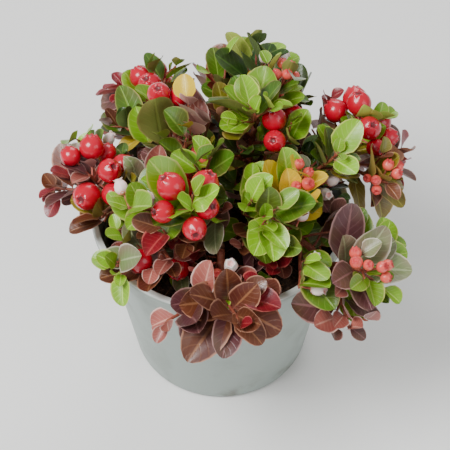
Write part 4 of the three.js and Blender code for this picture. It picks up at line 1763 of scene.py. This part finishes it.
def ball_rows(degrees):
    """Rows of a round profile at polar angles from the foot: minus the cosine along, the sine out."""
    return [(-math.cos(turn), 0.0, math.sin(turn), 0.0) for turn in np.radians(degrees)]


def balls_of(kind):
    """All fruit or flowers of a kind in the crown."""
    return [ball for ball in all_balls if ball["kind"] == kind]


print("fruit and flowers:", {kind: len(balls_of(kind)) for kind in ("berry", "coral", "flower")})

# %% [markdown]
# ### Fruit skin
# Ripe skin is smooth and glossy, a clear red that is a little paler near the stalk,
# with tiny pale dots and darker wood round the star. The group mixes three colours by
# how far a point lies from the fruit's foot, so it follows each berry round.

# %% Build the fruit skin
fruit_skin, given, gives = new_skin(
    "fruit skin",
    {
        "Skin": (0.6, 0.02, 0.04, 1.0),
        "Foot": (0.7, 0.1, 0.08, 1.0),
        "Star": (0.2, 0.03, 0.02, 1.0),
        "Star From": 0.8,
        "Dull": 0.2,
    },
)
STAR_BLENDS = 0.1
place = object_place(fruit_skin)
from_foot = own_number(fruit_skin, "from_foot")
cloud = noise(fruit_skin, place, scale=160.0, detail=2.0)
pores = ramp(fruit_skin, cell_distance(fruit_skin, place, scale=900.0), low=0.2, high=0.06)
pale = times(fruit_skin, ramp(fruit_skin, from_foot, low=0.35, high=0.0), 0.7)
clouded = times(fruit_skin, ramp(fruit_skin, cloud, low=0.5, high=0.75), 0.35)
pale = plus(fruit_skin, pale, clouded)
colour = blend_colours(fruit_skin, pale, given["Skin"], given["Foot"])
colour = lay_over(fruit_skin, colour, pores, 0.2, given["Foot"])
star_to = plus(fruit_skin, given["Star From"], STAR_BLENDS)
star = ramp(fruit_skin, from_foot, low=given["Star From"], high=star_to)
colour = lay_over(fruit_skin, colour, star, 0.85, given["Star"])
dull = plus(fruit_skin, given["Dull"], times(fruit_skin, star, 0.3))
dull = plus(fruit_skin, dull, times(fruit_skin, cloud, 0.1))
relief = minus(fruit_skin, cloud, times(fruit_skin, pores, 0.3))
finish_skin(fruit_skin, gives, colour, dull, relief)


def fruit_finish(name, skin, foot, star, star_from, dull, bump=(0.2, 0.1), **shader):
    """A material of the fruit group, with its three colours as seen on a screen."""
    values = {"Skin": srgb(*skin), "Foot": srgb(*foot), "Star": srgb(*star)}
    values.update({"Star From": star_from, "Dull": dull})
    return make_material(name, fruit_skin, values, bump, **shader)


# %% Make the red berries
BERRY_PROFILE = [
    (-0.93, 0, 0, 0),
    *ball_rows([14, 30, 46, 62, 78, 93, 108, 122, 136]),
    (0.88, 0.02, 0.53, 0.02),
    (0.95, 0.03, 0.43, 0.05),
    (1.0, 0.05, 0.34, 0.08),
    (0.93, 0.03, 0.24, 0.04),
    (0.8, 0, 0.14, 0),
    (0.86, 0, 0, 0),
]
berry_skin = fruit_finish(
    "ripe berry skin",
    skin=(188, 0, 38),
    foot=(206, 10, 48),
    star=(78, 6, 16),
    star_from=0.8,
    dull=0.2,
    bump=(0.15, 0.1),
    Coat_Weight=0.4,
    Coat_Roughness=0.06,
    Specular_IOR_Level=0.45,
)
piece = make_turned("berries", balls_of("berry"), BERRY_PROFILE, sides=30, seed=71)
dress(piece, berry_skin, "foliage", *foliage_nodes)

# %% Make the coral young fruit
CORAL_PROFILE = [
    (-0.95, 0, 0, 0),
    *ball_rows([22, 46, 70, 94, 118]),
    (0.72, 0.05, 0.62, 0.06),
    (0.95, 0.1, 0.5, 0.12),
    (0.68, 0.03, 0.28, 0.03),
    (0.6, 0, 0, 0),
]
coral_skin = fruit_finish(
    "coral fruit skin",
    skin=(224, 84, 74),
    foot=(236, 146, 112),
    star=(198, 52, 56),
    star_from=0.62,
    dull=0.3,
    Coat_Weight=0.2,
    Coat_Roughness=0.2,
)
piece = make_turned("young_fruit", balls_of("coral"), CORAL_PROFILE, sides=20, seed=72)
dress(piece, coral_skin, "foliage", *foliage_nodes)

# %% Make the urn flowers and their sepals
URN_PROFILE = [
    (-1.0, 0, 0, 0),
    (-0.94, 0, 0.36, 0.0),
    (-0.7, 0, 0.68, 0.03),
    (-0.25, 0, 0.84, 0.04),
    (0.25, 0, 0.78, 0.04),
    (0.62, 0, 0.56, 0.03),
    (0.8, 0, 0.42, 0.02),
    (1.0, 0.04, 0.6, 0.1),
    (0.86, 0.02, 0.36, 0.04),
    (0.5, 0, 0.28, 0),
    (0.3, 0, 0, 0),
]
SEPAL_PROFILE = [
    (-1.1, 0, 0, 0),
    (-1.0, 0, 0.36, 0.0),
    (-0.62, 0.16, 0.78, 0.1),
    (-0.9, 0.03, 0.42, 0.03),
    (-0.95, 0, 0, 0),
]
petal_skin = fruit_finish(
    "flower petal",
    skin=(244, 226, 220),
    foot=(236, 160, 158),
    star=(238, 190, 186),
    star_from=0.72,
    dull=0.4,
    Subsurface_Weight=0.15,
    Subsurface_Scale=MM,
)
sepal_skin = fruit_finish(
    "flower sepal",
    skin=(196, 120, 92),
    foot=(150, 150, 84),
    star=(214, 128, 116),
    star_from=0.5,
    dull=0.45,
)
for name, profile, skin in (
    ("flowers", URN_PROFILE, petal_skin),
    ("sepals", SEPAL_PROFILE, sepal_skin),
):
    piece = make_turned(name, balls_of("flower"), profile, sides=20, seed=73)
    dress(piece, skin, "foliage", *foliage_nodes)

# %% [markdown]
# ## Pot
# A grower's pot is moulded in thin plastic: a tapered wall, a collar with a small step,
# and a rolled lip. The wall is one profile turned about the axis, with its edges
# rounded by adding points on small curves, because a mould has no sharp corner. The
# drain holes are cut with a Boolean modifier that is applied at once.

# %% Turn a rounded profile
CURVE_STEPS = 4


def rounded(profile):
    """The points of a profile whose rows are a radius, a height and how far its corner is rounded.

    A rounded corner is a quadratic curve: it starts that distance before the corner, is
    pulled towards the corner, and ends the same distance after it.
    """
    t = np.linspace(0, 1, CURVE_STEPS)[:, None]
    corners = np.array(profile, float)
    curves = []
    for k, (radius, height, cut) in enumerate(corners):
        corner = np.array([radius, height])
        if cut == 0:
            curves.append(corner[None])
            continue
        before, after = corners[k - 1, :2], corners[k + 1, :2]
        first = corner + (before - corner) * (cut / math.dist(before, corner))
        last = corner + (after - corner) * (cut / math.dist(after, corner))
        curves.append((1 - t) ** 2 * first + 2 * t * (1 - t) * corner + t**2 * last)
    return np.concatenate(curves)


def turned_solid(name, profile, sides):
    """A closed form of revolution about the pot's axis. The profile starts and ends on the axis."""
    angles = turns_round(sides)
    radius, height = profile[1:-1].T[..., None]
    level = np.broadcast_to(height, (len(height), sides))
    ring = np.stack([radius * np.cos(angles), radius * np.sin(angles), level], axis=-1)
    poles = np.array([[0, 0, profile[0][1]], [0, 0, profile[-1][1]]])
    return put_mesh(name, np.concatenate([ring.reshape(-1, 3), poles]), tube_faces(len(radius), sides))


print("a rounded corner has", CURVE_STEPS, "points")

# %% Turn the pot
POT_SIDES = 128
FOOT_FLAT = 4
FOOT_EDGE = 1.5
FLOOR_TOP = 1.8
WALL_MIDDLE = 40
LIP_EDGE = 0.7
LIP_FOOT = POT_HEIGHT - LIP_HEIGHT
STEP_FOOT = COLLAR_FOOT - COLLAR_STEP
collar_at_foot = wall_at(COLLAR_FOOT) + COLLAR_STEP
# Each corner has its radius, its height and how far it is rounded.
POT_PROFILE = [
    (0, 0, 0),
    (BASE_RADIUS - FOOT_FLAT, 0, 0),
    (BASE_RADIUS - FOOT_EDGE, 0, 0.9),
    (wall_at(FOOT_EDGE), FOOT_EDGE, 0.9),
    (wall_at(WALL_MIDDLE), WALL_MIDDLE, 0),
    (wall_at(STEP_FOOT), STEP_FOOT, 0.5),
    (collar_at_foot, COLLAR_FOOT, 0.5),
    (wall_at(LIP_FOOT) + COLLAR_STEP, LIP_FOOT, 0.5),
    (RIM_RADIUS, LIP_FOOT + LIP_EDGE, 0.3),
    (RIM_RADIUS, POT_HEIGHT - LIP_EDGE, 0.45),
    (RIM_RADIUS - LIP_EDGE, POT_HEIGHT, 0.45),
    (wall_at(POT_HEIGHT) + COLLAR_STEP - WALL, POT_HEIGHT, 0.5),
    (collar_at_foot - WALL, COLLAR_FOOT, 0),
    (wall_at(STEP_FOOT) - WALL, STEP_FOOT, 0),
    (wall_at(WALL_MIDDLE) - WALL, WALL_MIDDLE, 0),
    (wall_at(FLOOR_TOP) - WALL, FLOOR_TOP, 0),
    (0, FLOOR_TOP, 0),
]
pot = turned_solid("grower_pot", rounded(POT_PROFILE), POT_SIDES)
print("the pot's profile has", len(POT_PROFILE), "corners")

# %% Cut the drain holes
DRAIN_HOLES = 8
DRAIN_RADIUS = 3.5
DRAIN_RING = 31
DRAIN_SIDES = 24
PEG_HEIGHTS = (-5.0, 0.0, 5.0)
JOIN_WITHIN = 0.002
POT_SHARP_FROM = math.radians(40)


def drain_cutter():
    """Upright round pegs on a ring, to cut the drain holes."""
    turns = math.tau * (np.arange(DRAIN_HOLES) + 0.5) / DRAIN_HOLES
    x, y = DRAIN_RING * np.cos(turns), DRAIN_RING * np.sin(turns)
    rows = [np.stack([x, y, np.full(DRAIN_HOLES, height)], axis=1) for height in PEG_HEIGHTS]
    paths = np.stack(rows, axis=1)
    return make_tubes("drain_cutter", paths, np.full(paths.shape[:2], DRAIN_RADIUS), DRAIN_SIDES)


def cut_away(piece, cutter):
    """Cuts a piece with another one, which is then removed.

    Points that the cut leaves almost together are joined, so that no face is nil.
    """
    cut = piece.modifiers.new("drain holes", "BOOLEAN")
    cut.operation = "DIFFERENCE"
    cut.object = cutter
    mesh = bpy.data.meshes.new_from_object(piece.evaluated_get(bpy.context.evaluated_depsgraph_get()))
    cleaned = bmesh.new()
    cleaned.from_mesh(mesh)
    bmesh.ops.triangulate(cleaned, faces=cleaned.faces)
    bmesh.ops.dissolve_degenerate(cleaned, dist=JOIN_WITHIN * MM, edges=cleaned.edges)
    cleaned.to_mesh(mesh)
    cleaned.free()
    piece.modifiers.clear()
    piece.data = mesh
    bpy.data.objects.remove(cutter)


cut_away(pot, drain_cutter())
pot.data.set_sharp_from_angle(angle=POT_SHARP_FROM)
print("the pot has", len(pot.data.polygons), "faces")

# %% [markdown]
# ### Moulded plastic
# The plastic is a light grey with a faint green cast, eggshell smooth, with very fine
# grain, faint level lines from the mould, and a little dried soil that clings in
# patches, most of all near the foot. The group takes its dirt from the height and from
# noise, and paints the top of the rim pale: a painted highlight where the rim faces the light.

# %% Build the moulded plastic
plastic_skin, given, gives = new_skin(
    "moulded plastic skin",
    {
        "Plastic": (0.45, 0.5, 0.47, 1.0),
        "Dust": (0.2, 0.17, 0.13, 1.0),
        "Rim Highlight": (0.8, 0.82, 0.8, 1.0),
        "Dull": 0.4,
        "Dust Share": 0.4,
        "Rim Highlight From": 0.0945,
    },
)
RIM_BLENDS = 0.6 * MM
DUSTY_TO = 16 * MM
place = object_place(plastic_skin)
height = put_node(plastic_skin, "ShaderNodeSeparateXYZ", {0: place}).outputs[2]
grain = noise(plastic_skin, place, scale=2600.0, detail=2.0)
cloud = noise(plastic_skin, place, scale=45.0, detail=4.0)
lines = noise(plastic_skin, stretched(plastic_skin, place, (0.02, 0.02, 1.0)), scale=700.0)
low = ramp(plastic_skin, height, low=DUSTY_TO, high=0.0)
smudge = ramp(plastic_skin, cloud, low=0.5, high=0.72)
smudge = times(plastic_skin, smudge, plus(plastic_skin, low, 0.25))
smudge = times(plastic_skin, smudge, given["Dust Share"])
# A painted highlight: the top of the rim is painted pale, where it faces the light.
rim_from = minus(plastic_skin, given["Rim Highlight From"], RIM_BLENDS)
rim_highlight = ramp(plastic_skin, height, low=rim_from, high=given["Rim Highlight From"])
colour = lay_over(plastic_skin, given["Plastic"], rim_highlight, 0.8, given["Rim Highlight"])
colour = blend_colours(plastic_skin, smudge, colour, given["Dust"])
colour = scaled(plastic_skin, colour, plus(plastic_skin, times(plastic_skin, cloud, 0.12), 0.94))
dull = plus(plastic_skin, given["Dull"], times(plastic_skin, cloud, 0.15))
dull = plus(plastic_skin, dull, times(plastic_skin, smudge, 0.5))
relief = plus(plastic_skin, times(plastic_skin, grain, 0.5), lines)
finish_skin(plastic_skin, gives, colour, dull, relief)
pot_plastic = make_material(
    "light grey moulded plastic",
    plastic_skin,
    {
        "Plastic": srgb(150, 161, 155),
        "Dust": srgb(96, 84, 68),
        # The pale rim colour is a painted highlight.
        "Rim Highlight": srgb(224, 229, 225),
        "Dull": 0.36,
        "Dust Share": 0.6,
        "Rim Highlight From": (POT_HEIGHT - 0.5) * MM,
    },
    bump=(0.25, 0.12),
    Specular_IOR_Level=0.45,
)
dress(pot, pot_plastic, "pot", "pot")

# %% [markdown]
# ## Soil
# The pot is filled with moist dark peat: a lumpy surface a centimetre under the rim,
# with loose crumbs and fine root fibres on it. The body is one closed turned form
# whose top is pushed up and down by smooth waves, and crumbs are small turned lumps
# scattered over it by a seeded draw.

# %% Make the soil
SOIL_SIDES = 96
SOIL_RINGS = 34
SOIL_FOOT = 2.1
SOIL_BEVEL = 0.5
SHOULDER = 0.9
FLAT_FROM = 2.5
MIDDLE_RING = 1.5
SURFACE_FROM = 1.5
CALM_EDGE = 4
inset = WALL + 2 * GAP
soil_edge = wall_at(SOIL_TOP) - inset
SOIL_PROFILE = np.array(
    [
        (0, SOIL_FOOT),
        (wall_at(SOIL_FOOT) - inset - SOIL_BEVEL, SOIL_FOOT),
        (wall_at(SOIL_FOOT + SOIL_BEVEL) - inset, SOIL_FOOT + SOIL_BEVEL),
        (wall_at(WALL_MIDDLE) - inset, WALL_MIDDLE),
        (wall_at(SOIL_TOP - FLAT_FROM) - inset, SOIL_TOP - FLAT_FROM),
        (soil_edge - SHOULDER, SOIL_TOP - SHOULDER),
        *[(radius, SOIL_TOP) for radius in np.linspace(soil_edge - FLAT_FROM, MIDDLE_RING, SOIL_RINGS)],
        (0, SOIL_TOP),
    ]
)
soil = turned_solid("soil_body", SOIL_PROFILE, SOIL_SIDES)


def soil_height(x, y):
    """The soil's rise over its level, in mm: broad waves, then finer lumps, then a fine roughness."""
    broad = 0.8 * np.sin(0.11 * x + 1.3) * np.sin(0.13 * y + 0.4)
    broad = broad + 0.5 * np.sin(0.21 * (x + y) + 2.0)
    bent_x, bent_y = 0.53 * x + 1.7 * np.sin(0.31 * y), 0.47 * y + 1.3 * np.sin(0.37 * x)
    lumps = 0.45 * np.sin(bent_x) * np.sin(bent_y)
    fine = 0.25 * np.sin(1.3 * x + 0.7 * y) * np.sin(1.1 * y - 0.9 * x)
    fine = fine + 0.16 * np.sin(2.3 * x) * np.sin(2.6 * y)
    return broad + lumps + fine


points = np.zeros(len(soil.data.vertices) * 3, np.float32)
soil.data.vertices.foreach_get("co", points)
points = points.reshape(-1, 3) / MM
x, y, z = points.T
top = z > SOIL_TOP - SURFACE_FROM
inward = np.clip((soil_edge - np.hypot(x, y)) / CALM_EDGE, 0, 1)
points[:, 2] += np.where(top, soil_height(x, y) * inward, 0)
soil.data.vertices.foreach_set("co", (points * MM).astype(np.float32).ravel())
soil.data.update()
print("the soil's surface has", int(top.sum()), "points")

# %% Build the peat
peat_skin, given, gives = new_skin(
    "peat skin",
    {"Peat": (0.03, 0.02, 0.015, 1.0), "Fibre": (0.1, 0.06, 0.04, 1.0), "Dull": 0.85},
)
place = object_place(peat_skin)
lumps = noise(peat_skin, place, scale=420.0, detail=6.0, rough=0.7)
bits = cell_distance(peat_skin, place, scale=700.0)
mask = ramp(peat_skin, lumps, low=0.45, high=0.75)
colour = blend_colours(peat_skin, mask, given["Peat"], given["Fibre"])
dull = minus(peat_skin, given["Dull"], times(peat_skin, lumps, 0.15))
relief = minus(peat_skin, lumps, times(peat_skin, bits, 0.4))
finish_skin(peat_skin, gives, colour, dull, relief)
peat = make_material(
    "moist peat",
    peat_skin,
    {"Peat": srgb(58, 42, 33), "Fibre": srgb(112, 82, 60), "Dull": 0.85},
    bump=(1.0, 0.9),
    Specular_IOR_Level=0.25,
)
dress(soil, peat, "soil", "soil")


# %% Scatter crumbs
def scatter(random, count, reach):
    """The x and y of places spread evenly by chance over a disc round the axis."""
    out = reach * np.sqrt(random.uniform(0, 1, count))
    turn = random.uniform(0, math.tau, count)
    return out * np.cos(turn), out * np.sin(turn)


SCATTER_SEED = 91
CRUMBS = 900
CRUMB_SIZES = (0.4, 1.5)
FEW_LARGE = 1.3
CRUMB_RISE = 0.3
CRUMB_PROFILE = [
    (-0.8, 0, 0, 0),
    (-0.55, 0.1, 0.7, 0.12),
    (0.25, -0.1, 0.95, -0.1),
    (0.7, 0.08, 0.5, 0.1),
    (0.85, 0, 0, 0),
]
random = np.random.default_rng(SCATTER_SEED)
x, y = scatter(random, CRUMBS, soil_edge - FLAT_FROM)
size = random.uniform(*CRUMB_SIZES, CRUMBS) ** FEW_LARGE
centres = np.stack([x, y, SOIL_TOP + soil_height(x, y) + CRUMB_RISE * size], axis=1)
ways = random.normal(size=(CRUMBS, 3))
ways /= np.linalg.norm(ways, axis=1)[:, None]
crumb_list = [
    {"centre": centre, "way": way, "radius": radius} for centre, way, radius in zip(centres, ways, size)
]
crumbs = make_turned("soil_crumbs", crumb_list, CRUMB_PROFILE, sides=6, seed=92)
dress(crumbs, peat, "soil", "soil")

# %% Scatter root fibres
FIBRES = 110
FIBRE_STEPS = 5
FIBRE_SIDES = 4
FIBRE_SEED = 93
FIBRE_RADIUS = 0.2
FIBRE_LENGTHS = (3, 8)
FIBRE_RISE = 1.4
FIBRE_DIP = 0.06
FROM_WALL = 7
x, y = scatter(random, FIBRES, soil_edge - FROM_WALL)
lay = random.uniform(0, math.tau, FIBRES)
fibre_list = [
    {
        "start": np.array([x[k], y[k], SOIL_TOP + FIBRE_RISE]),
        "direction": unit(np.array([math.cos(lay[k]), math.sin(lay[k]), -FIBRE_DIP])),
        "length": mix(*FIBRE_LENGTHS, k * GOLDEN_SHARE % 1),
    }
    for k in range(FIBRES)
]
fibre_skin = bark_finish(
    "root fibre",
    bark=(112, 78, 52),
    strips=(156, 122, 88),
    dull=0.7,
    strip_share=0.5,
    bump=(0.3, 0.1),
)
paths = twig_paths(fibre_list, FIBRE_STEPS, FIBRE_SEED)
fibres = make_tubes("root_fibres", paths, np.full(paths.shape[:2], FIBRE_RADIUS), FIBRE_SIDES)
dress(fibres, fibre_skin, "soil", "soil")

# %% [markdown]
# ## Floor, light and camera
# The plant stands on a plain pale floor in soft studio light: a strong lamp above and
# to the left, weaker ones from the right and from behind, and a bright even surround.
# The camera looks down on the plant by about fifty degrees, from two thirds of a metre.

# %% Lay the floor
FLOOR_REACH = 2500.0
FLOOR_CORNERS = np.array([[-1, -1, 0], [1, -1, 0], [1, 1, 0], [-1, 1, 0]])
floor = put_mesh("floor", FLOOR_REACH * FLOOR_CORNERS, [np.array([[0, 1, 2, 3]])])
floor_paint = bpy.data.materials.new("pale floor")
floor_paint.use_nodes = True
paint = floor_paint.node_tree.nodes["Principled BSDF"].inputs
paint["Base Color"].default_value = srgb(236, 236, 234)
paint["Roughness"].default_value = 0.8
floor.data.materials.append(floor_paint)
print("the floor is", 2 * FLOOR_REACH * MM, "metres wide")

# %% Hang the lamps
LAMP_TARGET = np.array([0, 0, 0.1])
SURROUND = (0.97, 0.98, 1.0, 1.0)
SURROUND_STRENGTH = 0.5


def hang_lamp(name, place, size, power):
    """A square soft lamp at a place in metres that faces the plant."""
    lamp = bpy.data.lights.new(name, "AREA")
    lamp.size = size
    lamp.energy = power
    holder = bpy.data.objects.new(name, lamp)
    bpy.context.scene.collection.objects.link(holder)
    holder.location = place
    aim = LAMP_TARGET - np.array(place)
    tip = math.atan2(math.hypot(aim[0], aim[1]), -aim[2])
    holder.rotation_euler = (tip, 0, math.atan2(aim[1], aim[0]) - math.pi / 2)
    print(name, "gives", power, "watts")


hang_lamp("key lamp", (-0.5, -0.3, 0.95), size=0.5, power=15)
hang_lamp("fill lamp", (0.9, -0.6, 0.7), size=0.8, power=4)
hang_lamp("back lamp", (0.2, 0.9, 0.8), size=0.6, power=5)
world = bpy.data.worlds.new("studio")
bpy.context.scene.world = world
world.use_nodes = True
surround = world.node_tree.nodes["Background"].inputs
surround["Color"].default_value = SURROUND
surround["Strength"].default_value = SURROUND_STRENGTH

# %% Place the camera
TARGET = np.array([2.0, -2.0, 84.0])
DISTANCE = 660.0
ELEVATION = math.radians(50)
SENSOR_WIDTH = 36
LENS = 113
eye = TARGET + DISTANCE * np.array([0.0, -math.cos(ELEVATION), math.sin(ELEVATION)])
camera = bpy.data.objects.new("camera", bpy.data.cameras.new("camera"))
bpy.context.scene.collection.objects.link(camera)
camera.data.sensor_width = SENSOR_WIDTH
camera.data.lens = LENS
camera.location = eye * MM
camera.rotation_euler = (math.pi / 2 - ELEVATION, 0, 0)
bpy.context.scene.camera = camera
print("the camera looks down by", round(math.degrees(ELEVATION)), "degrees")
